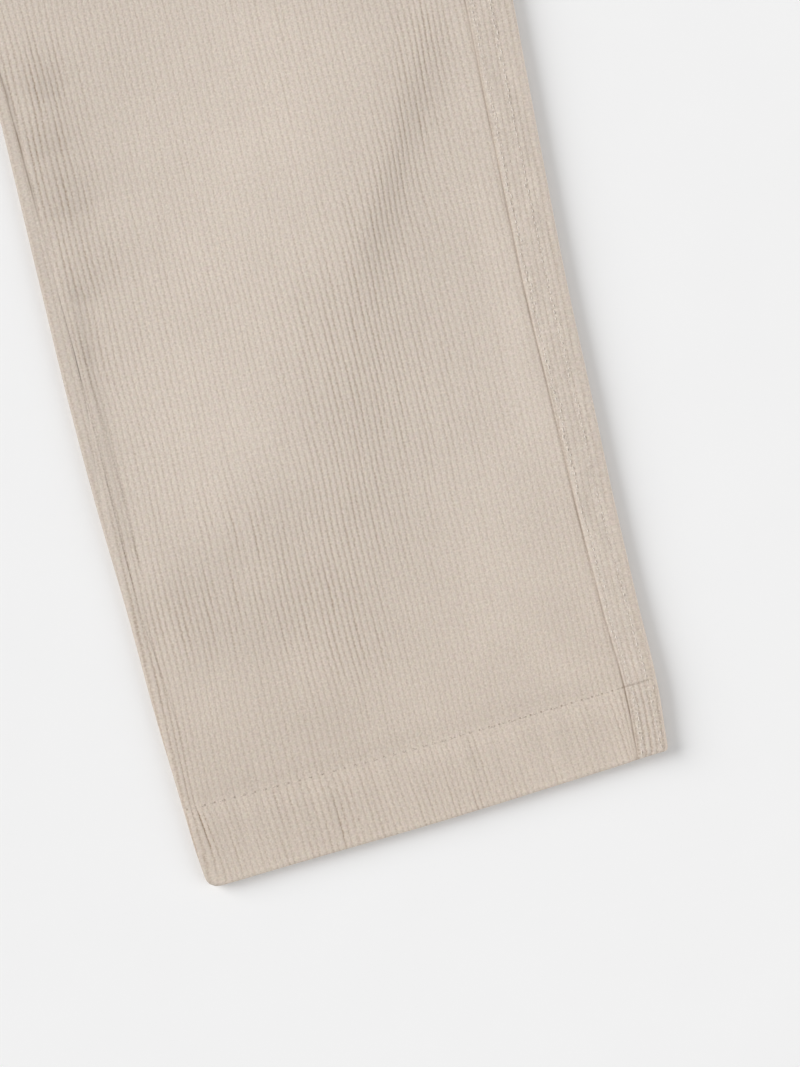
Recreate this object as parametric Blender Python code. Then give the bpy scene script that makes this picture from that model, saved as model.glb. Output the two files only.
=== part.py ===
"""Corduroy trousers laid flat on their back, front side up, the legs a little apart.

Metres. X points to the wearer's left, Y to the waist and Z up from the surface they lie on.
Each leg has its own measure: "up" runs from the hem along the leg, "across" runs from the
leg's middle line, outward positive. Everything is worked out for the wearer's left side and
mirrored for the right. A piece is a closed wall of cloth: a grid of places on the cloth's
middle layer, moved half a thickness to each side.
"""

import math

import bpy
import numpy as np

# Cloth and sewing
CLOTH = 0.0014               # wall of corduroy, pile included
SEAM_GAP = 0.0003            # between two pieces that are sewn together
HEM_DEPTH = 0.028            # height of the turned-up hem
HEM_EXTRA = 0.0012           # the turn-up, pressed against the inside of the leg
SEAM_LAP = 0.008             # how far the back's folded edge lies over the front at the outseam

# The legs' place
LEG_LEAN = math.radians(4.0)     # each leg leans outward, away from the middle
HEM_X = 0.1961                   # middle of the hem, from the centre line
HEM_Y = -0.529731                # and along the trousers, which are centred on the origin
HEM_SLOPE = 0.0045               # the hem's outer end lies this much higher than its middle

# The body
CROTCH_UP = 0.780                # inseam, measured up the leg
WAIST_HALF = 0.221               # half of the waist seam, from centre front to side
WAIST_FRONT = 0.9932             # height of the waist seam at the centre front, above the hem
WAIST_SIDE = 1.0050              # at the sides
WAIST_BACK = 1.0290              # and at the centre back, which is cut higher
BAND_HEIGHT = 0.040
BAND_TOP_HALF = 0.215            # half of the waistband's upper edge
BAND_CLOTH = 0.0028              # two layers
BAND_BEND = 0.0016               # bend of the waistband's middle layer at the sides
BAND_OVERLAP = 0.026             # the right end runs on this far below the left end
BACK_CURVE = 2.0                 # the back's upper edge is a parabola from side to side

# The fly
FLY_EDGE = 0.004                 # the left front's edge passes the centre line by this much
FLY_UNDER = 0.008                # the right front runs on below it by this much
FLY_BOTTOM_UP = 0.850            # where the left front starts to rise, above the crotch
FLY_OPEN_UP = 0.865              # and where the two fronts start to overlap
FLY_FLAT = 0.010                 # the overlap is level this far out from the centre line
FLY_RAMP = 0.014                 # and comes down over this width
FLY_RISE_UP = 0.965              # from here the left front rises further, into the waistband
FLY_RISE = 0.035

# The button
BUTTON_RADIUS = 0.0085
BUTTON_HEIGHT = 0.0032
BUTTON_DISH = 0.0009
BUTTON_HOLE_RADIUS = 0.0009
BUTTON_HOLE_PLACE = 0.0019       # each of four holes, from the middle along X and along Y
BUTTON_X = 0.010

# Outline of the left leg and hip: up the leg, then the two edges out from the middle line
OUTLINE_COLUMNS = ("up", "inner", "outer")
OUTLINE = (
    (-0.005, 0.0914, 0.0910),
    (0.010, 0.0930, 0.0921),
    (0.025, 0.0939, 0.0933),
    (0.065, 0.0962, 0.0934),
    (0.105, 0.0975, 0.0937),
    (0.145, 0.0995, 0.0946),
    (0.185, 0.1006, 0.0953),
    (0.240, 0.1009, 0.0976),
    (0.295, 0.1010, 0.1002),
    (0.400, 0.1040, 0.1040),
    (0.500, 0.1100, 0.1090),
    (0.600, 0.1180, 0.1160),
    (0.700, 0.1290, 0.1260),
    (0.780, 0.1420, 0.1352),
    (0.843, 0.1380, 0.1295),
    (0.904, 0.1335, 0.1196),
    (0.955, 0.1299, 0.1072),
    (1.001, 0.1266, 0.0949),
)

# Seams and bends, by height: how far the inseam lies from the fold, measured on the cloth,
# how far the outseam's edge lies in from the outer side, and the bend of each side fold
SEAM_COLUMNS = ("up", "inseam", "outseam", "inner_bend", "outer_bend")
SEAMS = (
    (0.000, 0.0000, 0.0120, 0.00205, 0.00255),
    (0.030, 0.0000, 0.0127, 0.00200, 0.00240),
    (0.060, 0.0002, 0.0138, 0.00180, 0.00210),
    (0.110, 0.0013, 0.0150, 0.00180, 0.00210),
    (0.150, 0.0032, 0.0158, 0.00180, 0.00210),
    (0.185, 0.0070, 0.0165, 0.00180, 0.00210),
    (0.240, 0.0063, 0.0174, 0.00180, 0.00210),
    (0.300, 0.0052, 0.0181, 0.00180, 0.00210),
    (0.400, 0.0034, 0.0186, 0.00180, 0.00210),
    (0.500, 0.0022, 0.0190, 0.00180, 0.00210),
    (0.700, 0.0006, 0.0195, 0.00180, 0.00210),
    (0.780, 0.0000, 0.0200, 0.00180, 0.00210),
    (0.900, 0.0000, 0.0185, 0.00180, 0.00210),
    (1.001, 0.0000, 0.0140, 0.00180, 0.00210),
)

# Creases: soft ridges (or troughs, where the height is negative) in the upper layer, each
# from one place to another on the leg, with its own width on either side of its line
CREASE_END = 0.030               # a crease dies away over this length beyond its ends
CREASE_FREE = (0.004, 0.016)     # no crease this near the inner edge, and full ones so far on
CREASE_FREE_BODY = (0.020, 0.030)
CREASE_FREE_HEM = 0.040
CREASE_FREE_WAIST = (0.900, 0.070)
CREASE_COLUMNS = ("up", "across", "up_end", "across_end", "height", "inward", "outward")
CREASES_LEFT = (
    (0.345, 0.074, 0.212, 0.016, 0.0013, 0.046, 0.012),
    (0.205, 0.010, 0.070, -0.016, 0.0010, 0.050, 0.020),
    (0.128, -0.050, 0.092, -0.094, 0.0006, 0.022, 0.020),
    (0.330, -0.094, 0.130, -0.094, 0.0007, 0.012, 0.012),
    (0.230, 0.066, 0.140, 0.062, -0.0004, 0.014, 0.012),
    (0.430, -0.060, 0.350, 0.020, 0.0011, 0.028, 0.018),
    (0.520, 0.070, 0.440, -0.020, 0.0013, 0.020, 0.026),
    (0.600, -0.080, 0.545, 0.030, -0.0006, 0.018, 0.022),
    (0.760, -0.120, 0.660, -0.020, 0.0014, 0.024, 0.020),
    (0.800, -0.120, 0.740, 0.040, 0.0011, 0.026, 0.016),
    (0.880, 0.080, 0.760, 0.030, 0.0009, 0.030, 0.024),
)
CREASES_RIGHT = (
    (0.300, -0.040, 0.120, -0.012, 0.0010, 0.040, 0.018),
    (0.150, 0.040, 0.060, 0.020, 0.0006, 0.026, 0.022),
    (0.380, 0.078, 0.270, 0.034, 0.0012, 0.022, 0.030),
    (0.470, -0.070, 0.400, 0.010, 0.0013, 0.024, 0.018),
    (0.560, 0.060, 0.500, -0.050, -0.0006, 0.020, 0.020),
    (0.700, -0.096, 0.610, 0.000, 0.0012, 0.022, 0.026),
    (0.790, -0.124, 0.720, 0.026, 0.0013, 0.020, 0.020),
    (0.860, 0.070, 0.780, 0.040, 0.0009, 0.026, 0.026),
)

# How the grids are cut: heights of the rows at the inner edge
HEM_ROWS = (0.0, 0.0012, 0.0042, 0.0275, 0.0285)    # above the hem's edge
LEG_ROWS = (                     # from one height to another, in so many steps
    (0.024, 0.060, 1),
    (0.060, 0.200, 10),
    (0.200, 0.350, 6),
    (0.350, 0.780, 12),
)
TOP_ROWS = (0.788, 0.820, 0.850, 0.860, 0.868, 0.905, 0.945, 0.975, 0.994)
FOLD_COLUMNS = 5
FOLD_STEP = 0.0011               # spacing of the columns next to the inseam
PANEL_COLUMNS = 9
BACK_COLUMNS = 4
BEND_COLUMNS = 6
RAMP_IN = 0.014                  # the front starts to dip this far before the outseam's edge
RAMP_OUT = 0.002
INNER_CORNER = 0.004             # radius of the hem's inner corner
OUTER_CORNER = 0.0012

CREAM = (0.604, 0.527, 0.456, 1.0)
BAND_CREAM = (0.584, 0.508, 0.439, 1.0)
HORN = (0.43, 0.36, 0.29, 1.0)


def smooth(value):
    """Rises softly from 0 to 1."""
    value = np.clip(value, 0.0, 1.0)
    return value * value * (3.0 - 2.0 * value)


def read(table, columns, name, up):
    """A table's column at a height, on a smooth curve through its rows."""
    heights = np.array([row[0] for row in table])
    values = np.array([row[columns.index(name)] for row in table])
    slopes = np.gradient(values, heights)
    up = min(max(up, heights[0]), heights[-1])
    row = min(int(np.searchsorted(heights, up, side="right")) - 1, len(heights) - 2)
    step = heights[row + 1] - heights[row]
    part = (up - heights[row]) / step
    rest = 1.0 - part
    return (values[row] * rest * rest * (1.0 + 2.0 * part)
            + values[row + 1] * part * part * (3.0 - 2.0 * part)
            + slopes[row] * step * part * rest * rest
            - slopes[row + 1] * step * part * part * rest)


def seam(name, up):
    return read(SEAMS, SEAM_COLUMNS, name, up)


def centre_line(up):
    """How far in from the leg's middle line the trousers' centre line lies."""
    return (HEM_X - up * math.sin(LEG_LEAN)) / math.cos(LEG_LEAN)


def inner_edge(up):
    """The leg's inner side, or the centre line above the crotch, as an across value."""
    at_centre = centre_line(up) - SEAM_GAP / 2
    if up > CROTCH_UP - 0.0001:
        return -at_centre
    return -min(read(OUTLINE, OUTLINE_COLUMNS, "inner", up), at_centre)


def outer_edge(up):
    return read(OUTLINE, OUTLINE_COLUMNS, "outer", up)


def on_leg(x, y):
    """A place on the trousers as up and across on the left leg."""
    across = (x - HEM_X) * math.cos(LEG_LEAN) + y * math.sin(LEG_LEAN)
    up = y * math.cos(LEG_LEAN) - (x - HEM_X) * math.sin(LEG_LEAN)
    return up, across


def on_trousers(up, across, height):
    """A place on the left leg as X, Y and Z."""
    x = HEM_X - up * math.sin(LEG_LEAN) + across * math.cos(LEG_LEAN)
    y = HEM_Y + up * math.cos(LEG_LEAN) + across * math.sin(LEG_LEAN)
    return x, y, height


def outer_end(station):
    """Up value of a row's outer end: rows turn from the hem's slope to the waist's."""
    front_top = on_leg(0.0, WAIST_FRONT)[0]
    outer_top = on_leg(WAIST_HALF, WAIST_SIDE)[0]
    part = (station + HEM_SLOPE) / (front_top + HEM_SLOPE)
    return HEM_SLOPE + part * (outer_top - HEM_SLOPE)


def back_station(station):
    """Up value of a back's row at the centre line, where the back is cut higher."""
    front_top = on_leg(0.0, WAIST_FRONT)[0]
    back_top = on_leg(0.0, WAIST_BACK)[0]
    rise = max(station - CROTCH_UP, 0.0) / (front_top - CROTCH_UP)
    return station + rise * (back_top - front_top)


def row_stations():
    stations = [-HEM_SLOPE + row for row in HEM_ROWS]
    for low, high, steps in LEG_ROWS:
        stations += list(np.linspace(low, high, steps + 1)[1:])
    return stations + list(TOP_ROWS) + [on_leg(0.0, WAIST_FRONT)[0]]


def corner_cut(above_hem, radius):
    """How far a rounded hem corner lies in from the straight edge."""
    if above_hem >= radius:
        return 0.0
    return radius - math.sqrt(radius ** 2 - (radius - above_hem) ** 2)


def crease_height(creases, up, across):
    """Height that the creases add to the upper layer."""
    total = 0.0
    for crease in creases:
        value = dict(zip(CREASE_COLUMNS, crease))
        run = np.array([value["up_end"] - value["up"], value["across_end"] - value["across"]])
        length = float(np.hypot(*run))
        along, aside = run / length, np.array([-run[1], run[0]]) / length
        start = np.array([up - value["up"], across - value["across"]])
        distance = float(start @ aside)
        outward = distance if aside[1] > 0 else -distance
        width = value["outward"] if outward > 0 else value["inward"]
        beyond = max(-float(start @ along), float(start @ along) - length, 0.0)
        fall = (distance / width) ** 2 + (beyond / CREASE_END) ** 2
        total += value["height"] * math.exp(-fall)
    return total


class Row:
    """One row across a leg: its ends, its seams and the bends of its two side folds."""

    def __init__(self, station):
        self.station = station
        self.outer_up = outer_end(station)
        above_hem = station + HEM_SLOPE
        self.inner = inner_edge(station) + corner_cut(above_hem, INNER_CORNER)
        self.outer = outer_edge(self.outer_up) - corner_cut(above_hem, OUTER_CORNER)
        self.inner_bend = seam("inner_bend", station)
        self.outer_bend = seam("outer_bend", station)
        self.inner_fold = self.inner + self.inner_bend + CLOTH / 2
        self.outer_fold = self.outer - self.outer_bend - CLOTH / 2
        self.outseam = self.outer - seam("outseam", self.outer_up)
        self.inseam = seam("inseam", station)
        self.body = station > CROTCH_UP + 0.0001
        self.fly = station > FLY_BOTTOM_UP + 0.0001
        self.hem = above_hem <= HEM_DEPTH

    def up_at(self, across):
        """A front's row runs straight between its ends, and level round the outer fold."""
        part = min((across - self.inner) / (self.outer_fold - self.inner), 1.0)
        return self.station + part * (self.outer_up - self.station)

    def back_up_at(self, across):
        """A back's row rises to the centre line, more so towards the waist."""
        start, start_up = self.inner, back_station(self.station)
        if self.body:
            start = -centre_line(start_up) + SEAM_GAP / 2
        part = min((across - start) / (self.outer_fold - start), 1.0)
        rise = start_up - self.station
        return self.station + part * (self.outer_up - self.station) + rise * (1.0 - part ** BACK_CURVE)

    def inner_bend_place(self, length):
        """Across, height and facing at a length from the inner fold, going up and over."""
        turn = min(length / self.inner_bend, math.pi / 2)    # from the side, up positive
        flat = max(length - self.inner_bend * math.pi / 2, 0.0)
        across = self.inner_fold - self.inner_bend * math.cos(turn) + flat
        height = CLOTH / 2 + self.inner_bend * (1.0 + math.sin(turn))
        return across, height, -math.cos(turn), math.sin(turn)


def fly_lift(row, distance, side):
    """The left front lies on the right one along the fly."""
    if side != "left" or not row.fly:
        return 0.0
    near_band = smooth((row.station - FLY_RISE_UP) / FLY_RISE)
    lift = CLOTH + SEAM_GAP + near_band * (BAND_CLOTH - CLOTH - 0.0001)
    return lift * (1.0 - smooth((distance - FLY_FLAT) / FLY_RAMP))


def front_row(row, side, creases):
    """Up, across, height and facing of each column of a front, from inseam to outseam."""
    seam_height = CLOTH / 2 + 2.0 * row.outer_bend - CLOTH - SEAM_GAP
    top = CLOTH / 2 + 2.0 * row.inner_bend
    past = 0.0
    if row.station > FLY_OPEN_UP:
        past = FLY_EDGE if side == "left" else FLY_UNDER
    if row.body:
        near = np.linspace(row.inner - past, row.inner + FLY_FLAT, FOLD_COLUMNS)
        places = [(across, top, 0.0, 1.0) for across in near]
    else:
        steps = [FOLD_STEP * k for k in range(FOLD_COLUMNS)]
        places = [row.inner_bend_place(row.inseam + step) for step in steps]
    ramp_start, ramp_end = row.outseam - RAMP_IN, row.outseam - RAMP_OUT
    flats = list(np.linspace(places[-1][0], ramp_start, PANEL_COLUMNS + 1)[1:])
    flats += list(np.linspace(ramp_start, ramp_end, 4)[1:])
    flats += [row.outseam + SEAM_LAP / 2, row.outseam + SEAM_LAP]
    places += [(across, top, 0.0, 1.0) for across in flats]
    result = []
    for across, height, side_facing, up_facing in places:
        up = row.up_at(across)
        dip = smooth((across - ramp_start) / (ramp_end - ramp_start))
        height += (seam_height - top) * dip
        away = smooth((across - places[0][0] - CREASE_FREE[0]) / CREASE_FREE[1]) * (1.0 - dip)
        away *= smooth((row.station + HEM_SLOPE) / CREASE_FREE_HEM)
        away *= 1.0 - smooth((row.station - CREASE_FREE_WAIST[0]) / CREASE_FREE_WAIST[1])
        if row.body:
            height += fly_lift(row, across + centre_line(up), side)
            away *= smooth((across - row.inner - CREASE_FREE_BODY[0]) / CREASE_FREE_BODY[1])
        height += away * crease_height(creases, up, across)
        result.append((up, across, height, side_facing, up_facing))
    return result


def back_row(row, side, creases):
    """The same for a back, from the inseam under the leg and round to the outseam's edge."""
    below = CLOTH / 2
    places = []
    if row.body:
        start = -centre_line(back_station(row.station)) + SEAM_GAP / 2
        for across in np.linspace(start, start + FLY_FLAT, FOLD_COLUMNS + 1):
            places.append((row.back_up_at(across), across, below, 0.0, -1.0))
    else:
        end = -row.inner_bend * math.pi / 2
        for length in np.linspace(row.inseam - SEAM_GAP, end, FOLD_COLUMNS + 1):
            across, height, side_facing, up_facing = row.inner_bend_place(length)
            places.append((row.up_at(across), across, height, side_facing, up_facing))
    for across in np.linspace(places[-1][1], row.outer_fold, BACK_COLUMNS + 2)[1:-1]:
        places.append((row.back_up_at(across), across, below, 0.0, -1.0))
    for turn in np.linspace(0.0, math.pi, BEND_COLUMNS):
        across = row.outer_fold + row.outer_bend * math.sin(turn)
        height = below + row.outer_bend * (1.0 - math.cos(turn))
        places.append((row.outer_up, across, height, math.sin(turn), -math.cos(turn)))
    top = below + 2.0 * row.outer_bend
    for across in np.linspace(row.outer_fold, row.outseam, 4)[1:]:
        places.append((row.up_at(across), across, top, 0.0, 1.0))
    return places


def cloth_wall(name, places, facings, extra, thickness, colour):
    """A closed wall from a grid of places, with an extra layer inside where it is doubled."""
    rows, columns = places.shape[:2]
    outside = places + facings * thickness / 2
    inside = places - facings * (thickness / 2 + extra[..., None])
    points = np.concatenate([outside.reshape(-1, 3), inside.reshape(-1, 3)])
    under = rows * columns

    def at(row, column):
        return row * columns + column

    faces = []
    for row in range(rows - 1):
        for column in range(columns - 1):
            quad = [at(row, column), at(row, column + 1), at(row + 1, column + 1), at(row + 1, column)]
            faces.append(quad)
            faces.append([under + corner for corner in reversed(quad)])
    rim = [at(0, column) for column in range(columns)]
    rim += [at(row, columns - 1) for row in range(1, rows)]
    rim += [at(rows - 1, column) for column in range(columns - 2, -1, -1)]
    rim += [at(row, 0) for row in range(rows - 2, 0, -1)]
    for here, there in zip(rim, rim[1:] + rim[:1]):
        faces.append([there, here, under + here, under + there])
    mesh = bpy.data.meshes.new(name)
    mesh.from_pydata(points.tolist(), [], faces)
    mesh.update()
    mesh.shade_smooth()
    mesh.set_sharp_from_angle(angle=math.radians(40.0))
    return place_object(name, mesh, colour, 0.92)


def place_object(name, mesh, colour, roughness):
    part = bpy.data.objects.new(name, mesh)
    bpy.context.collection.objects.link(part)
    material = bpy.data.materials.new(name)
    material.use_nodes = True
    finish = material.node_tree.nodes["Principled BSDF"]
    finish.inputs["Base Color"].default_value = colour
    finish.inputs["Roughness"].default_value = roughness
    finish.inputs["Metallic"].default_value = 0.0
    mesh.materials.append(material)
    return part


def panel(name, side, row_shape, creases, last_flat):
    """A front or a back: its rows, set out on the trousers and mirrored for the right side."""
    grid, facings, extra = [], [], []
    lean = (math.cos(LEG_LEAN), math.sin(LEG_LEAN))
    for station in row_stations():
        row = Row(station)
        shape = row_shape(row, side, creases)
        grid.append([on_trousers(*place[:3]) for place in shape])
        facings.append([(place[3] * lean[0], place[3] * lean[1], place[4]) for place in shape])
        doubled = [HEM_EXTRA if row.hem and FOLD_COLUMNS < k < last_flat else 0.0
                   for k in range(len(shape))]
        extra.append(doubled)
    grid, facings, extra = np.array(grid), np.array(facings), np.array(extra)
    if side == "right":
        grid[..., 0] *= -1.0
        facings[..., 0] *= -1.0
    if (side == "right") != (row_shape is back_row):
        grid, facings, extra = grid[:, ::-1], facings[:, ::-1], extra[:, ::-1]
    return cloth_wall(name, grid, facings, extra, CLOTH, CREAM)


def waist_seam(x, row):
    """Y of the front's waist seam at a place across the trousers."""
    fold_x, fold_y, _ = on_trousers(row.outer_up, row.outer_fold, 0.0)
    centre = HEM_Y + WAIST_FRONT
    if abs(x) > fold_x:
        return fold_y + (abs(x) - fold_x) * math.tan(LEG_LEAN)
    return centre + (fold_y - centre) * abs(x) / fold_x


def waistband():
    """A doubled strip round the waist, its left end lapped over its right end at the front."""
    below = BAND_CLOTH / 2
    top = below + 2.0 * BAND_BEND
    lift = BAND_CLOTH + SEAM_GAP
    flat_end = BAND_OVERLAP + 0.004
    seam_row = Row(on_leg(0.0, WAIST_FRONT)[0])
    fold = WAIST_HALF - BAND_BEND - BAND_CLOTH / 2
    back = [on_trousers(*place[:3]) for place in back_row(seam_row, "left", ())]
    back = [(x, y) for x, y, z in back[:FOLD_COLUMNS + BACK_COLUMNS + 1]]
    path = []
    for x in np.linspace(BAND_OVERLAP, -fold, 6)[:-1]:
        path.append((x, waist_seam(x, seam_row), top, 0.0, 1.0))
    for turn in np.linspace(math.pi, 0.0, BEND_COLUMNS):
        x = -fold - BAND_BEND * math.sin(turn)
        z = below + BAND_BEND * (1.0 - math.cos(turn))
        path.append((x, waist_seam(x, seam_row), z, -math.sin(turn), -math.cos(turn)))
    for x, y in [(-x, y) for x, y in reversed(back)] + back:
        path.append((x, y, below, 0.0, -1.0))
    for turn in np.linspace(0.0, math.pi, BEND_COLUMNS):
        x = fold + BAND_BEND * math.sin(turn)
        z = below + BAND_BEND * (1.0 - math.cos(turn))
        path.append((x, waist_seam(x, seam_row), z, math.sin(turn), -math.cos(turn)))
    for x in np.linspace(fold, flat_end + FLY_RAMP, 4)[1:-1]:
        path.append((x, waist_seam(x, seam_row), top, 0.0, 1.0))
    for rise in (0.0, 0.3, 0.7, 1.0):
        x = flat_end + FLY_RAMP * (1.0 - rise)
        path.append((x, waist_seam(x, seam_row), top + lift * smooth(rise), 0.0, 1.0))
    for x in (0.5 * (flat_end - FLY_EDGE), -FLY_EDGE):
        path.append((x, waist_seam(x, seam_row), top + lift, 0.0, 1.0))
    grid, facings = [], []
    for part in (0.0, 0.5, 1.0):
        narrow = 1.0 + part * (BAND_TOP_HALF / WAIST_HALF - 1.0)
        rise = SEAM_GAP + part * BAND_HEIGHT
        grid.append([(x * (narrow if abs(x) > flat_end + FLY_RAMP else 1.0), y + rise, z)
                     for x, y, z, _, _ in path])
        facings.append([(side_facing, 0.0, up_facing) for _, _, _, side_facing, up_facing in path])
    grid, facings = np.array(grid)[:, ::-1], np.array(facings)[:, ::-1]
    return cloth_wall("waistband", grid, facings, np.zeros(grid.shape[:2]), BAND_CLOTH, BAND_CREAM)


def waist_button():
    """A turned button with a dished face and four holes, sewn on where the band overlaps."""
    height = 0.5 * BAND_CLOTH + 2.0 * BAND_BEND + BAND_CLOTH + SEAM_GAP + 0.5 * BAND_CLOTH
    base = height + SEAM_GAP
    place_y = HEM_Y + WAIST_FRONT + 0.5 * BAND_HEIGHT
    profile = (
        (0.0000, BUTTON_HEIGHT - BUTTON_DISH),
        (BUTTON_RADIUS * 0.55, BUTTON_HEIGHT - BUTTON_DISH),
        (BUTTON_RADIUS * 0.72, BUTTON_HEIGHT),
        (BUTTON_RADIUS * 0.88, BUTTON_HEIGHT),
        (BUTTON_RADIUS, BUTTON_HEIGHT * 0.7),
        (BUTTON_RADIUS, BUTTON_HEIGHT * 0.35),
        (BUTTON_RADIUS * 0.8, 0.0),
        (0.0000, 0.0),
    )
    sides = 32
    points, faces = [], []
    for radius, z in profile[1:-1]:
        for k in range(sides):
            angle = 2.0 * math.pi * k / sides
            points.append((radius * math.cos(angle), radius * math.sin(angle), z))
    for ring in range(len(profile) - 3):
        for k in range(sides):
            nxt = (k + 1) % sides
            faces.append([ring * sides + nxt, ring * sides + k,
                          (ring + 1) * sides + k, (ring + 1) * sides + nxt])
    faces.append(list(range(sides)))
    faces.append([(len(profile) - 3) * sides + k for k in reversed(range(sides))])
    mesh = bpy.data.meshes.new("waist_button")
    mesh.from_pydata(points, [], faces)
    mesh.update()
    button = place_object("waist_button", mesh, HORN, 0.35)
    button.location = (BUTTON_X, place_y, base)
    for k in range(4):
        angle = math.pi / 4 + k * math.pi / 2
        bpy.ops.mesh.primitive_cylinder_add(vertices=12, radius=BUTTON_HOLE_RADIUS, depth=0.02)
        drill = bpy.context.active_object
        drill.name = "drill_%d" % (k + 1)
        reach = BUTTON_HOLE_PLACE * math.sqrt(2.0)
        drill.location = (BUTTON_X + reach * math.cos(angle), place_y + reach * math.sin(angle), base)
        drill.hide_render = True
        drill.display_type = "WIRE"
        cut = button.modifiers.new("hole_%d" % (k + 1), "BOOLEAN")
        cut.operation = "DIFFERENCE"
        cut.object = drill
    mesh.shade_smooth()
    mesh.set_sharp_from_angle(angle=math.radians(35.0))
    return button


def build():
    for thing in list(bpy.data.objects):
        bpy.data.objects.remove(thing, do_unlink=True)
    front_flats = FOLD_COLUMNS + PANEL_COLUMNS
    back_flats = FOLD_COLUMNS + BACK_COLUMNS + 1
    for side, creases in (("left", CREASES_LEFT), ("right", CREASES_RIGHT)):
        panel("front_" + side, side, front_row, creases, front_flats)
        panel("back_" + side, side, back_row, creases, back_flats)
    waistband()
    waist_button()


build()
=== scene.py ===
# %% [markdown]
# # Corduroy trousers, laid flat
#
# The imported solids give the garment's true form: two fronts, two backs, a waistband and a
# button. This script dresses them as cloth. Each solid is replaced by a thin sheet that
# follows it, and the sheet carries what a solid can't: ribs of pile, rolled seam edges,
# puckers, needle holes and sewing thread.
#
# Units are metres. X points to the wearer's left, Y to the waist and Z up from the table.
# On each leg "up" runs from the hem along the leg and "across" runs out from its middle.

# %% The frame
import math
from functools import partial
from types import SimpleNamespace

import bpy
import numpy as np
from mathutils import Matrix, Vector


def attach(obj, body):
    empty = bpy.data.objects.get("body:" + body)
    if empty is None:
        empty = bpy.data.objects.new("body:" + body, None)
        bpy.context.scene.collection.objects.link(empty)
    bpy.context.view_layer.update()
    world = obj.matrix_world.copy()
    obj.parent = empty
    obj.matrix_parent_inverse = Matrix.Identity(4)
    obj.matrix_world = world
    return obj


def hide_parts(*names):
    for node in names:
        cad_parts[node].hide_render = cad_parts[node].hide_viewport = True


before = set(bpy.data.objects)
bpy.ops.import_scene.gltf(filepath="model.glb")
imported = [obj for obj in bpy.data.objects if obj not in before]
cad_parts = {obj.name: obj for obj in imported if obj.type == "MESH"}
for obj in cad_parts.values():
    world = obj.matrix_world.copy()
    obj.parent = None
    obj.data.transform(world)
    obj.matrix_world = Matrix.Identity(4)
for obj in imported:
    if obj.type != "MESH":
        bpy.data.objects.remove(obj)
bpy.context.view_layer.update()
MM = 0.001
print("solids:", ", ".join(sorted(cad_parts)))

# %% [markdown]
# ## The pattern's measures
#
# A tailor's pattern is a list of widths at a few heights, joined by smooth curves. The same
# list shapes the solids, so the sheets land on them without any fitting.

# %% Sizes from the pattern
CLOTH = 1.4 * MM                 # wall of corduroy, pile included
SEAM_GAP = 0.3 * MM
SEAM_SHOWN = 0.08 * MM           # sewn edges press closer together than the solids do
SEAM_TUCK = 0.05 * MM            # at the inseam they just pass each other
SEAM_LAP = 8.0 * MM              # the back's folded edge lies this far over the front
LEG_LEAN = math.radians(4.0)
HEM_X, HEM_Y = 0.1961, -0.529731
HEM_SLOPE = 4.5 * MM             # the hem's outer end lies this much higher than its middle
CROTCH_UP = 0.780
WAIST_HALF = 0.221
WAIST_FRONT, WAIST_SIDE, WAIST_BACK = 0.9932, 1.0050, 1.0290
BACK_CURVE = 2.0
FLY_EDGE, FLY_UNDER = 4.0 * MM, 8.0 * MM
FLY_BOTTOM_UP, FLY_OPEN_UP = 0.850, 0.865
FLY_FLAT, FLY_RAMP = 10.0 * MM, 14.0 * MM
FLY_RISE_UP, FLY_RISE = 0.965, 0.035
RAMP_IN, RAMP_OUT = 14.0 * MM, 2.0 * MM
INNER_CORNER, OUTER_CORNER = 4.0 * MM, 1.2 * MM
BAND_CLOTH = 2.8 * MM            # two layers
BAND_OVERLAP = 26.0 * MM         # the waistband's left end lies over its right end
LAP_END = BAND_OVERLAP + 4.0 * MM       # and is raised in full out to here

# Up the leg, then the two edges out from the middle line
OUTLINE = np.array((
    (-0.005, 0.0914, 0.0910), (0.010, 0.0930, 0.0921), (0.025, 0.0939, 0.0933),
    (0.065, 0.0962, 0.0934), (0.105, 0.0975, 0.0937), (0.145, 0.0995, 0.0946),
    (0.185, 0.1006, 0.0953), (0.240, 0.1009, 0.0976), (0.295, 0.1010, 0.1002),
    (0.400, 0.1040, 0.1040), (0.500, 0.1100, 0.1090), (0.600, 0.1180, 0.1160),
    (0.700, 0.1290, 0.1260), (0.780, 0.1420, 0.1352), (0.843, 0.1380, 0.1295),
    (0.904, 0.1335, 0.1196), (0.955, 0.1299, 0.1072), (1.001, 0.1266, 0.0949),
))

# Up the leg; inseam from the fold; outseam's edge from the side; bends of the side folds
SEAMS = np.array((
    (0.000, 0.0000, 0.0120, 0.00205, 0.00255), (0.030, 0.0000, 0.0127, 0.00200, 0.00240),
    (0.060, 0.0002, 0.0138, 0.00180, 0.00210), (0.110, 0.0013, 0.0150, 0.00180, 0.00210),
    (0.150, 0.0032, 0.0158, 0.00180, 0.00210), (0.185, 0.0070, 0.0165, 0.00180, 0.00210),
    (0.240, 0.0063, 0.0174, 0.00180, 0.00210), (0.300, 0.0052, 0.0181, 0.00180, 0.00210),
    (0.400, 0.0034, 0.0186, 0.00180, 0.00210), (0.500, 0.0022, 0.0190, 0.00180, 0.00210),
    (0.700, 0.0006, 0.0195, 0.00180, 0.00210), (0.780, 0.0000, 0.0200, 0.00180, 0.00210),
    (0.900, 0.0000, 0.0185, 0.00180, 0.00210), (1.001, 0.0000, 0.0140, 0.00180, 0.00210),
))


# %% Reading the pattern
def smooth(value):
    """Rises softly from 0 to 1."""
    value = np.clip(value, 0.0, 1.0)
    return value * value * (3.0 - 2.0 * value)


def hump(distance, width):
    """A bell: 1 at no distance, about a third at one width, and nothing at three."""
    return np.exp(-(distance / width) ** 2)


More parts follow.
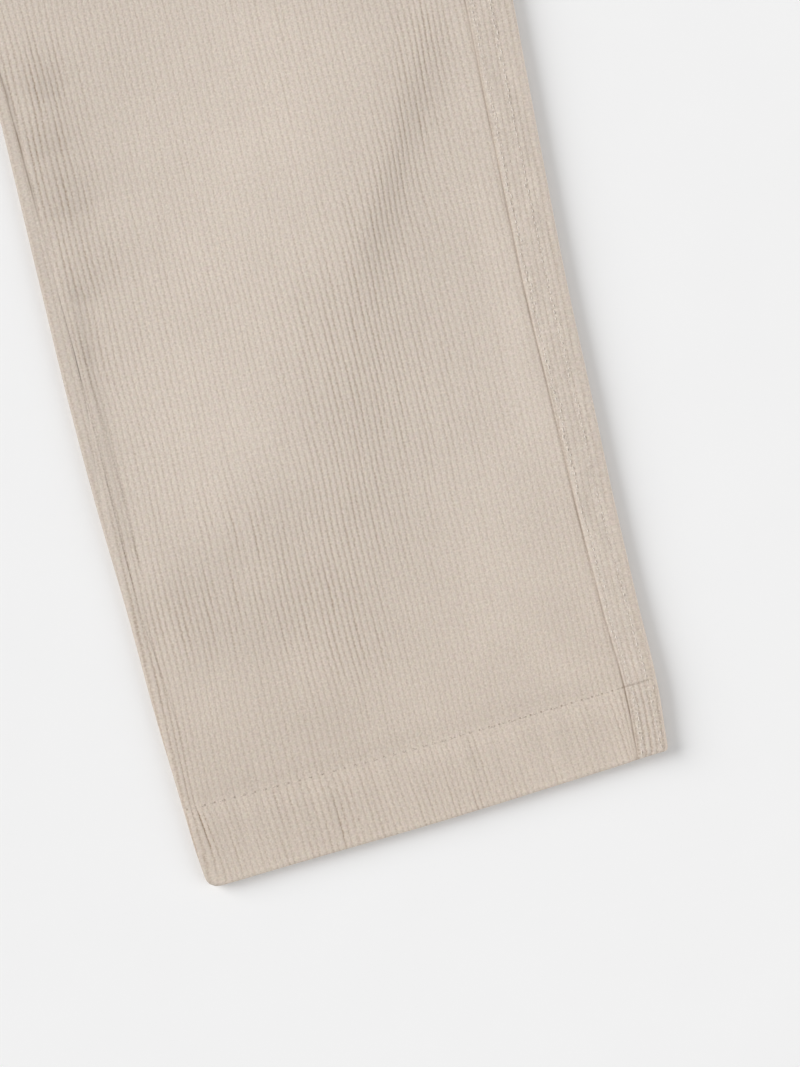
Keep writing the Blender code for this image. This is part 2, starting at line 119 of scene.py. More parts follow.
def measure(table, column, up):
    """A column of a table at any heights, on a smooth curve through its rows."""
    heights, values = table[:, 0], table[:, column]
    slopes = np.gradient(values, heights)
    up = np.clip(up, heights[0], heights[-1])
    row = np.clip(np.searchsorted(heights, up, side="right") - 1, 0, len(heights) - 2)
    step = heights[row + 1] - heights[row]
    part = (up - heights[row]) / step
    rest = 1.0 - part
    return (values[row] * rest * rest * (1.0 + 2.0 * part)
            + values[row + 1] * part * part * (3.0 - 2.0 * part)
            + slopes[row] * step * part * rest * rest
            - slopes[row + 1] * step * part * part * rest)


def centre_line(up):
    """How far in from the leg's middle line the trousers' centre line lies."""
    return (HEM_X - up * math.sin(LEG_LEAN)) / math.cos(LEG_LEAN)


def on_leg(x, y):
    """A place on the trousers as up and across on the left leg."""
    across = (x - HEM_X) * math.cos(LEG_LEAN) + y * math.sin(LEG_LEAN)
    return y * math.cos(LEG_LEAN) - (x - HEM_X) * math.sin(LEG_LEAN), across


def on_trousers(side, up, across, height):
    """Up and across on a leg as X, Y and Z, stacked in the last axis."""
    x = HEM_X - up * math.sin(LEG_LEAN) + across * math.cos(LEG_LEAN)
    y = HEM_Y + up * math.cos(LEG_LEAN) + across * math.sin(LEG_LEAN)
    mirror = -1.0 if side == "right" else 1.0
    return np.stack(np.broadcast_arrays(mirror * x, y, height), axis=-1)


FRONT_TOP = on_leg(0.0, WAIST_FRONT)[0]
OUTER_TOP = on_leg(WAIST_HALF, WAIST_SIDE)[0]
BACK_TOP = on_leg(0.0, WAIST_BACK)[0]


def corner_cut(above_hem, radius):
    """How far a rounded hem corner lies in from the straight edge."""
    rest = np.clip(radius - above_hem, 0.0, radius)
    return radius - np.sqrt(radius ** 2 - rest ** 2)


def leg_row(station):
    """Ends, seams and side folds of the rows that start at these heights."""
    row = SimpleNamespace(station=np.asarray(station, dtype=float))
    part = (row.station + HEM_SLOPE) / (FRONT_TOP + HEM_SLOPE)
    row.outer_up = HEM_SLOPE + part * (OUTER_TOP - HEM_SLOPE)
    above_hem = row.station + HEM_SLOPE
    at_centre = centre_line(row.station) - SEAM_GAP / 2
    free = np.minimum(measure(OUTLINE, 1, row.station), at_centre)
    row.body = row.station > CROTCH_UP + 0.0001
    row.inner = corner_cut(above_hem, INNER_CORNER) - np.where(row.body, at_centre, free)
    row.outer = measure(OUTLINE, 2, row.outer_up) - corner_cut(above_hem, OUTER_CORNER)
    row.inner_bend = measure(SEAMS, 3, row.station)
    row.outer_bend = measure(SEAMS, 4, row.station)
    row.inner_fold = row.inner + row.inner_bend + CLOTH / 2
    row.outer_fold = row.outer - row.outer_bend - CLOTH / 2
    row.outseam = row.outer - measure(SEAMS, 2, row.outer_up)
    row.strip_end = row.outer_fold + math.pi * row.outer_bend - row.outseam
    row.inseam = measure(SEAMS, 1, row.station)
    return row


def hem_sag(up, across):
    """The hem's inner part hangs a little lower than its outer end."""
    return 1.9 * MM * (1.0 - smooth((up - 10.0 * MM) / (50.0 * MM))) * (1.0 - smooth(across / 0.120))


def row_up(row, across):
    """A row's height up the leg at a place across it."""
    part = np.minimum((across - row.inner) / (row.outer_fold - row.inner), 1.0)
    up = row.station + part * (row.outer_up - row.station)
    return up - hem_sag(up, across)


def station_at(up, across):
    """The row that passes through a place on a leg."""
    station = np.asarray(up, dtype=float)
    for _ in range(4):
        row = leg_row(station)
        station = station + up - row_up(row, across)
    return station


hem = leg_row(0.0)
print("hem width %.0f mm" % (1000.0 * (hem.outer - hem.inner)))

# %% [markdown]
# ## Soft unevenness
#
# Real cloth is never exact. A sum of a few waves in seeded directions gives values that
# wander smoothly, are the same in every run, and cost far less than a simulation.


# %% A wandering value
def wander(x, y, seed, waves=10):
    """Smooth uneven values, mostly between -1 and 1, with about one swell a unit."""
    chance = np.random.default_rng(seed)
    total = np.zeros(np.broadcast(x, y).shape)
    for _ in range(waves):
        turn, start = chance.uniform(0.0, math.tau, 2)
        pace = chance.uniform(2.0, 5.5)
        total += np.sin(pace * (x * math.cos(turn) + y * math.sin(turn)) + start)
    return 0.62 * total * math.sqrt(2.0 / waves)


print("a wandering row:", np.round(wander(np.arange(6.0), 0.0, 3), 2))

# %% [markdown]
# ## Creases
#
# Laid trousers keep the folds of wear: long soft ridges with one steep side, and shallow
# troughs along the seams. A simulation would put them anywhere, so each is placed as a line
# with a height and a width to either side. The large ones are in the solids too.

# %% Crease tables: up, across, up end, across end, height, inward width, outward width
CREASE_END = 16.0 * MM           # a large crease fades out over this, a small one over half
LARGE_CREASE = 0.9 * MM
CREASES = {
    "left": np.array((
        (0.284, 0.055, 0.222, 0.020, 0.0016, 0.040, 0.0115),
        (0.200, 0.008, 0.084, -0.020, 0.0010, 0.050, 0.024),
        (0.128, -0.046, 0.096, -0.094, 0.0010, 0.024, 0.022),
        (0.330, -0.094, 0.130, -0.094, 0.0004, 0.012, 0.012),
        (0.230, 0.066, 0.140, 0.062, -0.0004, 0.014, 0.012),
        (0.430, -0.060, 0.350, 0.020, 0.0011, 0.028, 0.018),
        (0.520, 0.070, 0.440, -0.020, 0.0013, 0.020, 0.026),
        (0.600, -0.080, 0.545, 0.030, -0.0006, 0.018, 0.022),
        (0.760, -0.120, 0.660, -0.020, 0.0014, 0.024, 0.020),
        (0.800, -0.120, 0.740, 0.040, 0.0011, 0.026, 0.016),
        (0.880, 0.080, 0.760, 0.030, 0.0009, 0.030, 0.024),
    )),
    "right": np.array((
        (0.300, -0.040, 0.120, -0.012, 0.0010, 0.040, 0.018),
        (0.150, 0.040, 0.060, 0.020, 0.0006, 0.026, 0.022),
        (0.380, 0.078, 0.270, 0.034, 0.0012, 0.022, 0.030),
        (0.470, -0.070, 0.400, 0.010, 0.0013, 0.024, 0.018),
        (0.560, 0.060, 0.500, -0.050, -0.0006, 0.020, 0.020),
        (0.700, -0.096, 0.610, 0.000, 0.0012, 0.022, 0.026),
        (0.790, -0.124, 0.720, 0.026, 0.0013, 0.020, 0.020),
        (0.860, 0.070, 0.780, 0.040, 0.0009, 0.026, 0.026),
    )),
}
FINE_CREASES = {
    "left": np.array((
        (0.225, -0.087, 0.130, -0.092, -0.0003, 0.004, 0.006),
        (0.110, -0.052, 0.098, -0.086, -0.0005, 0.009, 0.010),
        (0.082, -0.036, 0.074, -0.044, -0.0004, 0.010, 0.010),
        (0.052, 0.049, 0.044, 0.055, -0.0004, 0.008, 0.008),
        (0.060, -0.070, 0.030, -0.020, 0.0003, 0.012, 0.012),
        (0.160, -0.030, 0.120, -0.050, 0.0003, 0.016, 0.014),
    )),
    "right": np.array((
        (0.270, -0.081, 0.140, -0.089, -0.0005, 0.004, 0.006),
        (0.120, -0.040, 0.096, -0.080, -0.0005, 0.010, 0.010),
        (0.056, 0.020, 0.046, 0.040, -0.0004, 0.009, 0.009),
        (0.220, 0.030, 0.170, 0.060, 0.0004, 0.018, 0.014),
    )),
}


def beside_line(line, up, across):
    """Distance on a line's outer side, and distance past its ends."""
    up_0, across_0, up_1, across_1 = line
    length = math.hypot(up_1 - up_0, across_1 - across_0)
    rise, aside = (up_1 - up_0) / length, (across_1 - across_0) / length
    run = (up - up_0) * rise + (across - across_0) * aside
    outer = ((across - across_0) * rise - (up - up_0) * aside) * math.copysign(1.0, rise)
    return outer, run - np.clip(run, 0.0, length)


def crease_height(creases, up, across):
    """Height that a list of creases adds to the cloth."""
    total = np.zeros(np.broadcast(up, across).shape)
    for *line, height, inward, outward in creases:
        outer, beyond = beside_line(line, up, across)
        width = np.where(outer > 0, outward, inward)
        end = CREASE_END if height > LARGE_CREASE else 0.5 * CREASE_END
        total += height * hump(outer, width) * hump(beyond, end)
    return total


creases = [*CREASES.values(), *FINE_CREASES.values()]
print("creases placed by hand:", sum(len(table) for table in creases))

# %% [markdown]
# ## Painted light and shade
#
# Pile that leans toward the light looks paler and pile that leans away looks darker; that
# light and shade is painted into the colour. An image could hold it, but a few soft strokes
# are lighter and can be moved: each goes from one place to another, with a width and an
# amount. A second table of strokes deepens the ribs, in the mesh and in the painted shade of
# their grooves.

# %% Stroke tables: up, across, up end, across end, width, amount
# Painted light and shade on each leg, laid in strokes
PAINTED_LIGHT_STROKES = {                     # amount is a share of the brightness
    "left": np.array((
        (0.300, 0.002, 0.165, -0.056, 0.034, 0.055),
        (0.160, 0.010, 0.100, -0.004, 0.014, -0.003),
        (0.225, 0.058, 0.205, 0.054, 0.014, 0.012),
        (0.040, 0.056, 0.030, 0.050, 0.016, -0.017),
        (0.030, -0.070, 0.028, -0.030, 0.012, -0.022),
        (0.104, -0.082, 0.090, -0.040, 0.019, -0.034),
        (0.044, -0.084, 0.046, -0.030, 0.012, -0.042),
        (0.170, 0.052, 0.070, 0.044, 0.026, 0.022),
        (0.225, -0.088, 0.130, -0.090, 0.0045, -0.080),
        (0.312, 0.068, 0.284, 0.060, 0.008, 0.035),
        (0.060, 0.064, 0.050, 0.070, 0.010, -0.035),
        (0.310, -0.080, 0.250, -0.084, 0.010, -0.030),
        (0.054, 0.080, 0.048, 0.080, 0.006, -0.035),
        (0.118, -0.066, 0.114, -0.050, 0.012, -0.025),
        (0.012, -0.085, 0.010, -0.030, 0.012, -0.028),
        (0.480, -0.040, 0.380, 0.020, 0.030, 0.040),
        (0.600, 0.060, 0.500, 0.080, 0.030, -0.045),
        (0.700, -0.060, 0.640, 0.020, 0.034, 0.040),
        (0.820, 0.040, 0.760, -0.040, 0.026, -0.040),
    )),
    "right": np.array((
        (0.260, -0.020, 0.150, 0.030, 0.030, 0.050),
        (0.120, -0.060, 0.100, 0.000, 0.018, -0.050),
        (0.330, 0.060, 0.250, 0.040, 0.018, -0.045),
        (0.480, 0.020, 0.400, -0.050, 0.032, 0.045),
        (0.620, -0.070, 0.540, -0.030, 0.026, -0.045),
        (0.740, 0.060, 0.660, 0.000, 0.034, 0.040),
        (0.850, -0.060, 0.780, -0.100, 0.024, -0.040),
    )),
}
RIB_STRENGTH = {                 # amount is added to 1
    "left": np.array((
        (0.292, 0.064, 0.262, 0.051, 0.012, 1.50),
        (0.262, 0.051, 0.225, 0.031, 0.013, 1.60),
        (0.225, 0.031, 0.190, 0.018, 0.017, 1.40),
        (0.190, 0.018, 0.150, 0.007, 0.024, 1.30),
        (0.150, 0.007, 0.118, -0.006, 0.026, 1.15),
        (0.118, -0.006, 0.095, -0.020, 0.020, 0.95),
        (0.095, -0.020, 0.072, -0.018, 0.016, 1.15),
        (0.095, -0.024, 0.096, -0.080, 0.016, 1.10),
        (0.122, -0.042, 0.086, -0.034, 0.018, 1.10),
        (0.310, -0.085, 0.235, -0.084, 0.016, 1.30),
        (0.235, -0.084, 0.200, -0.084, 0.014, 0.70),
        (0.200, -0.082, 0.120, -0.082, 0.016, 0.12),
        (0.022, -0.046, 0.016, -0.036, 0.012, 0.15),
        (0.140, -0.0975, 0.006, -0.0895, 0.005, 1.10),
        (0.235, -0.0990, 0.160, -0.0980, 0.004, 0.80),
        (0.110, 0.050, 0.035, 0.040, 0.030, -0.28),
        (0.265, 0.024, 0.240, 0.000, 0.022, -0.15),
        (0.560, 0.000, 0.430, 0.060, 0.030, 0.90),
        (0.800, -0.080, 0.700, 0.000, 0.030, 0.80),
    )),
    "right": np.array((
        (0.290, -0.062, 0.220, -0.040, 0.014, 1.30),
        (0.220, -0.040, 0.140, -0.010, 0.020, 1.10),
        (0.110, 0.020, 0.090, 0.070, 0.018, 0.70),
        (0.420, 0.050, 0.350, -0.030, 0.026, 1.00),
        (0.640, -0.040, 0.540, 0.050, 0.030, 0.80),
        (0.820, 0.020, 0.740, -0.090, 0.026, 0.90),
    )),
}


def strokes(table, up, across):
    """A table's strokes at a place on a leg; where strokes overlap, the strongest counts."""
    more = np.zeros(np.broadcast(up, across).shape)
    less = np.zeros(more.shape)
    for *line, width, amount in table:
        here = amount * hump(np.hypot(*beside_line(line, up, across)), width)
        more, less = np.maximum(more, here), np.minimum(less, here)
    return more + less


brushed = [*PAINTED_LIGHT_STROKES.values(), *RIB_STRENGTH.values()]
print("strokes placed by hand:", sum(len(table) for table in brushed))

# %% [markdown]
# ## Crowded ribs and puffs
#
# Where cloth is pressed into a crease its ribs crowd together, and beside the crease they
# spread. Each band of crowding follows a line up the leg. Beside the inseam the cloth is a
# little longer than its thread, so it puffs between the pulls. The puffs are not raised in the
# mesh: their shade is painted, getting darker downward and ending in an arc, and it deepens
# the ribs. Below them the seam's allowance, pressed underneath, shows as a line of painted
# shade in a shallow trough.

# %% Crowding: up, across, width and share, for lines up the leg
CROWDING = {
    "left": (
        ((0.000, 0.000, 0.030, 0.00), (0.110, 0.004, 0.030, 0.05), (0.150, 0.010, 0.028, 0.06),
         (0.190, 0.020, 0.022, 0.10), (0.225, 0.033, 0.017, 0.14), (0.262, 0.052, 0.016, 0.15),
         (0.290, 0.064, 0.016, 0.14), (0.330, 0.080, 0.018, 0.00)),
        ((0.000, -0.045, 0.030, -0.13), (0.050, -0.050, 0.030, -0.13), (0.080, -0.050, 0.025, -0.05),
         (0.125, -0.060, 0.020, -0.07), (0.150, -0.030, 0.022, -0.04), (0.180, -0.020, 0.020, 0.00)),
        ((0.000, 0.012, 0.025, 0.07), (0.045, 0.020, 0.022, 0.06), (0.070, 0.016, 0.025, 0.00)),
        ((0.190, -0.080, 0.013, 0.00), (0.225, -0.080, 0.013, 0.08), (0.270, -0.080, 0.013, 0.08),
         (0.300, -0.082, 0.012, 0.16), (0.340, -0.084, 0.012, 0.00)),
    ),
    "right": (
        ((0.060, 0.000, 0.024, 0.00), (0.140, -0.010, 0.024, 0.08), (0.220, -0.038, 0.018, 0.13),
         (0.290, -0.060, 0.018, 0.12), (0.340, -0.070, 0.018, 0.00)),
        ((0.000, 0.030, 0.026, -0.10), (0.050, 0.034, 0.026, -0.10), (0.090, 0.036, 0.026, 0.00)),
    ),
}
PUFFS = {                        # up and across of the lower edge, width, length
    "left": ((0.301, -0.081, 0.010, 0.012), (0.279, -0.086, 0.012, 0.014), (0.255, -0.084, 0.014, 0.016),
             (0.222, -0.084, 0.009, 0.015), (0.199, -0.089, 0.006, 0.012), (0.352, -0.088, 0.011, 0.018),
             (0.410, -0.094, 0.010, 0.020), (0.480, -0.100, 0.012, 0.018), (0.610, -0.112, 0.012, 0.022)),
    "right": ((0.268, -0.086, 0.012, 0.015), (0.236, -0.088, 0.009, 0.014), (0.330, -0.090, 0.012, 0.018),
              (0.440, -0.098, 0.010, 0.016), (0.560, -0.108, 0.012, 0.020)),
}
# Up, across and strength: the line that the allowance presses, and the crease beside it; the
# strength sets the painted shade along each line and its shallow trough
PRESSED_LINES = (
    np.array(((0.040, -0.0868, 0.00), (0.052, -0.0876, 0.12), (0.073, -0.0896, 0.26),
              (0.088, -0.0907, 0.32), (0.102, -0.0923, 0.22), (0.130, -0.0931, 0.50),
              (0.168, -0.0932, 0.36), (0.195, -0.0937, 0.38), (0.210, -0.0944, 0.00))),
    np.array(((0.115, -0.0884, 0.00), (0.125, -0.0884, 0.42), (0.150, -0.0886, 0.32),
              (0.168, -0.0890, 0.30), (0.185, -0.0898, 0.30), (0.207, -0.0903, 0.20),
              (0.222, -0.0905, 0.00))),
)


def crowded(side, up, across):
    """Sideways shift of the ribs toward the lines where they crowd."""
    total = 0.0
    for line in CROWDING[side]:
        line = np.array(line)
        middle, width, share = [np.interp(up, line[:, 0], line[:, k]) for k in (1, 2, 3)]
        gap = across - middle
        total = total - share * gap * hump(gap, width)
    return total


def puffs(side, up, across):
    """How deep in the painted shade of a puff a place lies, from 0 to 1."""
    total = np.zeros(np.broadcast(up, across).shape)
    for low, middle, width, length in PUFFS[side]:
        aside = (across - middle) / width
        above = up - low - 3.0 * MM * aside ** 2 + 0.8 * MM * wander(up / 0.020, across / 0.006, 78)
        here = smooth((above + 1.0 * MM) / (2.5 * MM)) * hump(np.clip(above, 0.0, None), length)
        total = np.maximum(total, here * hump(across - middle, width))
    return total


def pressed_line(line, up, across):
    """How far a place lies beside a pressed line, and how strong the line is there."""
    beside, strength = [np.interp(up, line[:, 0], line[:, k]) for k in (1, 2)]
    return across - beside, strength * (0.9 + 0.35 * wander(up / 0.014, 0.0, 77))


print("puffs beside the inseams:", sum(len(part) for part in PUFFS.values()))

# %% [markdown]
# ## Ribs of corduroy
#
# Corduroy is woven with extra loops of cotton that are cut and brushed up into ribs, called
# wales. This cloth has eleven to the inch. A rib could be bump alone, but then its edge at
# a hem or a fold would be straight, so the mesh itself is ribbed: columns of points run
# along the grain at four to eight places on each rib, and the shader adds the pile and paints
# shade into the grooves.

# %% The rib's section and its unevenness
RIB = 25.4 * MM / 11.0
RIB_PLACES = np.array((0.0, 0.13, 0.35, 0.65, 0.87))
RIB_FINE = np.array((0.0, 0.07, 0.16, 0.30, 0.50, 0.70, 0.84, 0.93))   # on the outseam's strip
RIB_DEPTH = 0.058 * MM


def rib_columns(first, last, places=RIB_PLACES):
    """Columns along the grain, at the same places on every rib."""
    ribs = np.arange(math.floor(first / RIB), math.ceil(last / RIB) + 1)
    return (ribs[:, None] + places[None, :]).ravel() * RIB


def rib_sink(width):
    """How far the surface lies below a rib's crown, as a share of the rib's depth."""
    place = np.mod(width / RIB, 1.0)
    return 1.0 - np.interp(place, (0.0, 0.07, 0.16, 0.32, 0.5, 0.68, 0.84, 0.93, 1.0),
                           (0.0, 0.20, 0.52, 0.89, 1.0, 0.89, 0.52, 0.20, 0.0))


def rib_depth(width, up, seed):
    """Depth of the grooves: each rib differs, and wear flattens some areas."""
    own = wander(np.floor(width / RIB) * 1.7, up / 0.024, seed)
    area = wander(width / 0.045, up / 0.070, seed + 1)
    return RIB_DEPTH * np.clip(1.0 + 0.28 * own + 0.14 * area, 0.25, 2.2)


def rib_stray(width, up, seed):
    """Sideways wander of the ribs."""
    return MM * (0.30 * wander(width / 0.060, up / 0.055, seed + 2)
                 + 0.20 * wander(width / 0.016, up / 0.022, seed + 3))


print("one rib is %.2f mm wide and %.2f mm deep" % (RIB / MM, RIB_DEPTH / MM))

# %% [markdown]
# ## A sheet from a grid
#
# Ribs run straight along the grain while the edges of a panel curve, as on a cut piece of
# cloth. So the grid keeps its columns and each row uses only those between its own two
# edges. Where a row ends, the last column slides to the edge and the spare cells close to
# triangles or vanish.
#
# Triples of values travel with every point for the shader: its place on the flat cloth and
# the strength of its ribs; its place by a line of stitches; and how plain it is, how much
# painted shade lies in it, and its painted light and shade with a few tones of the pile. The
# fronts also carry the two lines that are pressed beside the inseam.


# %% Mesh with cloth places
def mesh_object(name, points, faces):
    """An object from points and faces, with soft shading."""
    mesh = bpy.data.meshes.new(name)
    mesh.from_pydata(np.asarray(points).tolist(), [], faces)
    mesh.update()
    mesh.shade_smooth()
    thing = bpy.data.objects.new(name, mesh)
    bpy.context.collection.objects.link(thing)
    return thing


def triples(shape, **named):
    """Named triples of values, each spread over a grid of this shape."""
    return {name: np.stack([np.broadcast_to(value, shape) for value in values], axis=-1)
            for name, values in named.items()}


def cloth_mesh(name, grid, first, last, turned_over):
    """Builds an object from grid.place, using columns first to last of each row."""
    columns = grid.place.shape[1]
    used = np.clip(np.arange(columns)[None, :], first[:, None], last[:, None])
    start = np.concatenate(([0], np.cumsum(last - first + 1)))[:-1]
    number = start[:, None] + used - first[:, None]
    keep = used == np.arange(columns)[None, :]
    low_l, low_r = number[:-1, :-1], number[:-1, 1:]
    high_r, high_l = number[1:, 1:], number[1:, :-1]
    low, high = low_l != low_r, high_l != high_r
    cells = np.stack((low_l, low_r, high_r, high_l), axis=-1)
    faces = cells[low & high].tolist()
    faces += cells[low & ~high][:, (0, 1, 2)].tolist()
    faces += cells[~low & high][:, (0, 2, 3)].tolist()
    if turned_over:
        faces = [face[::-1] for face in faces]
    sheet = mesh_object(name, grid.place[keep], faces)
    mesh = sheet.data
    for layer, values in grid.travels.items():
        travelling = mesh.attributes.new(layer, "FLOAT_VECTOR", "POINT")
        travelling.data.foreach_set("vector", values[keep].astype(np.float32).ravel())
    corner = np.empty(len(mesh.loops), dtype=np.int32)
    mesh.loops.foreach_get("vertex_index", corner)
    baked = mesh.uv_layers.new(name="OFBake")
    baked.data.foreach_set("uv", grid.flat[keep][corner].astype(np.float32).ravel())
    return sheet


def triangles(thing):
    return sum(len(face.vertices) - 2 for face in thing.data.polygons)


def describe(sheets):
    for sheet in sheets:
        area = sum(face.area for face in sheet.data.polygons)
        print(sheet.name, triangles(sheet), "triangles, %.4f square metres" % area)


def unit_square(lengths, heights):
    """A flat layout for baking: columns to the right, rows up, inside the unit square."""
    u = 0.01 + 0.98 * (lengths - lengths.min()) / np.ptp(lengths)
    v = 0.01 + 0.98 * (heights - heights.min()) / np.ptp(heights)
    return np.stack(np.meshgrid(u, v), axis=-1)


# %% [markdown]
# ## The hem's section
#
# A hem is cloth turned up inside and stitched. Seen from below it is a rounded lip about
# twice the cloth's thickness. It could be two panels, but one surface that rolls under is
# simpler: rows before the edge carry on inward, each with a rise and a depth.

# %% Hem roll, lines of stitches and rows up the leg
HEM_ROLL = np.array((            # above the hem's edge, and in from the outer face
    (28.0, 2.2), (14.0, 2.2), (3.0, 2.25), (1.0, 2.15), (0.15, 1.75), (0.0, 1.1),
    (0.06, 0.42), (0.34, 0.09),
)) * MM
HEM_STITCH = (27.6 * MM, 0.041, 0.13)   # up at the leg's middle, its slope and its bow
HEM_PRESS = 0.9 * MM             # the front's hem is pressed down toward the table
HEM_PITCH = 4.0 * MM
HEM_ROPE = 0.075                 # the turned band drags its ribs sideways as it twists
OUTSEAM_PITCH = 2.5 * MM
OUTSEAM_ROWS = (2.1 * MM, 9.2 * MM)     # out from the folded edge
SHIN_END = 0.330                 # the rows lie wider apart above this
FRONT_STEPS = {"left": (3.0 * MM, 10.5 * MM), "right": (4.5 * MM, 12.0 * MM)}
BACK_STEPS = {"left": (2.5 * MM, 5.0 * MM), "right": (4.0 * MM, 7.0 * MM)}


def hem_line(across):
    return HEM_STITCH[0] + HEM_STITCH[1] * across + HEM_STITCH[2] * across ** 2


def hem_press(row, upward):
    """How far the hem is pressed down, for a surface that faces up this much."""
    pressed = HEM_PRESS * (1.0 - smooth((row.station + HEM_SLOPE) / (30.0 * MM)))
    return pressed * np.clip(upward, 0.0, 1.0)


def leg_stations(fine_step, coarse_step):
    """Rows up a leg: close in the hem, even over the shin, and wider apart above."""
    near = np.array((1.6, 2.8, 4.2, 6.4)) * MM - HEM_SLOPE
    band = np.arange(4.0 * MM, 37.0 * MM, min(fine_step, 2.2 * MM))
    strip = np.array((0.087,))
    by_line = station_at(hem_line(strip), strip) + np.array((-0.5, 0.0, 0.5)) * MM
    band = np.sort(np.concatenate((band[np.abs(band - by_line[1]) > 1.2 * MM], by_line)))
    shin = np.arange(band[-1] + fine_step, SHIN_END, fine_step)
    thigh = np.linspace(SHIN_END, CROTCH_UP, int((CROTCH_UP - SHIN_END) / coarse_step) + 1)
    body = np.arange(CROTCH_UP + 8.0 * MM, FRONT_TOP - 6.0 * MM, coarse_step)
    fly = FLY_BOTTOM_UP + np.array((0.0, 9.0, 18.0)) * MM
    top = FRONT_TOP - np.array((4.0, 1.6, 0.6, 0.0)) * MM
    body = body[np.abs(body[:, None] - fly[None, :]).min(axis=1) > 3.0 * MM]
    return np.concatenate((near, band, shin, thigh, np.sort(np.concatenate((body, fly))), top))


def with_hem(stations):
    """Stations, their way in from the outer face, and their place on the flat cloth."""
    above, inset = HEM_ROLL.T
    turned_up = np.arange(len(above)) <= above.argmin()
    flat = np.where(turned_up, -above, above) - HEM_SLOPE
    return [np.concatenate(pair) for pair in (
        (above - HEM_SLOPE, stations), (inset, 0.0 * stations), (flat, stations))]


print("rows on the left front:", len(with_hem(leg_stations(*FRONT_STEPS["left"]))[0]))


# %% Painted shade and light, and tones, that fronts and backs share
def seam_shade(row, up, from_seam):
    """The inseam is a dark line above the shin, and its thread draws it closed below."""
    drawn_open = 0.06 + 0.24 * smooth((up - 0.175) / 0.020) + 0.75 * smooth((up - 0.246) / 0.022)
    return np.where(row.body, 0.30, drawn_open) * hump(from_seam, 0.36 * MM)


def drawn_tone(row, up, from_seam):
    """Where the thread draws the inseam closed, its pile stands up paler."""
    return 0.07 * hump(up - 0.243, 0.018) * hump(from_seam, 1.6 * MM) * ~row.body


def painted_fold_light(side, face_out):
    """Painted light and shade on the folds: sides facing the wearer's left, away from the key light, are
    painted paler, and sides facing right, toward it, darker.
    """
    left_side = face_out if side == "left" else -face_out
    return np.where(left_side > 0.0, 0.38, 0.22) * left_side


def painted_hem_edge_light(row):
    """Painted light on the hem's edge, whose roll turns away from the light."""
    return 0.10 * hump(row.station + HEM_SLOPE, 1.6 * MM)


def seam_strain(up, seed):
    """A seam is pulled in harder here than there."""
    return np.clip(0.9 + 0.5 * wander(up / 0.012, 0.0, seed + 13), 0.45, 1.5)


def flattened(turn):
    """A pressed half circle: sideways, upward, and the way its surface faces."""
    side, rise = np.cos(turn), np.sin(turn)
    face_side, face_rise = np.abs(side) ** 1.5, np.abs(rise) ** 1.5
    length = np.hypot(face_side, face_rise)
    return (np.sign(side) * np.sqrt(np.abs(side)), np.sign(rise) * np.sqrt(np.abs(rise)),
            np.sign(side) * face_side / length, np.sign(rise) * face_rise / length)


print("shade in the left inseam, by height:",
      [round(float(seam_shade(leg_row(up), up, 0.0)), 2) for up in (0.1, 0.2, 0.3)])

# %% [markdown]
# ## The fronts
#
# Each front is one panel, from the inseam, which has rolled a little onto the front of the
# leg, across to the outseam, where it runs under the back's folded edge. The work goes as at
# the bench: first where the plain cloth lies, then its creases and gathers, then what sinks
# into it. The ribs are laid on last, square to the surface, so they also turn round the fold.

# %% Where the plain cloth of a front lies
LEDGE = 0.70 * MM                # step from the front up to the outseam's folded edge
UNDER_STRIP = 0.9 * MM           # the front sinks this far below that edge
SEEDS = {"left": 11, "right": 47}


def grain_start(row, side):
    """Where the front begins, at the inseam or past the centre line."""
    sewn = (SEAM_GAP - SEAM_SHOWN) / 2
    past = np.where(row.station > FLY_OPEN_UP, FLY_EDGE if side == "left" else FLY_UNDER, sewn)
    at_seam = row.inner_fold - row.inner_bend * math.pi / 2 + row.inseam
    return np.where(row.body, row.inner - past, at_seam)


def front_form(side, station, grain):
    """The plain cloth, and the distances that its creases and seams are drawn from."""
    row = leg_row(station)
    begin = grain_start(row, side)
    at = SimpleNamespace(side=side, seed=SEEDS[side], row=row, grain=np.maximum(grain, begin))
    turn = np.minimum((at.grain - row.inner_fold) / row.inner_bend + math.pi / 2, math.pi / 2)
    folded = ~row.body & (turn < math.pi / 2)
    sideways, upward, face_side, face_rise = flattened(turn)
    upward = np.where(folded, upward, 1.0)
    at.across = np.where(folded, row.inner_fold - row.inner_bend * sideways, at.grain)
    at.up = row_up(row, at.across)
    at.face_out = np.where(folded, -face_side, 0.0)
    at.face_up = np.where(folded, face_rise, 1.0)
    at.from_seam = at.grain - begin
    at.to_ledge = row.outseam - at.across
    at.away = smooth(at.from_seam / (8.0 * MM)) * smooth(at.to_ledge / (6.0 * MM))
    at.line = hem_line(at.across) - at.up
    at.in_band = smooth(at.line / (3.0 * MM))
    at.dip = smooth((RAMP_IN - at.to_ledge) / (RAMP_IN - RAMP_OUT))
    step_up = 2.0 * (row.outer_bend - row.inner_bend) - LEDGE
    at.height = (CLOTH / 2 + row.inner_bend * (1.0 + upward) - hem_press(row, upward)
                 + step_up * at.dip - UNDER_STRIP * smooth(-at.to_ledge / (3.0 * MM)))
    return at


print("the left front begins at %.1f mm" % (grain_start(leg_row(0.1), "left") / MM))

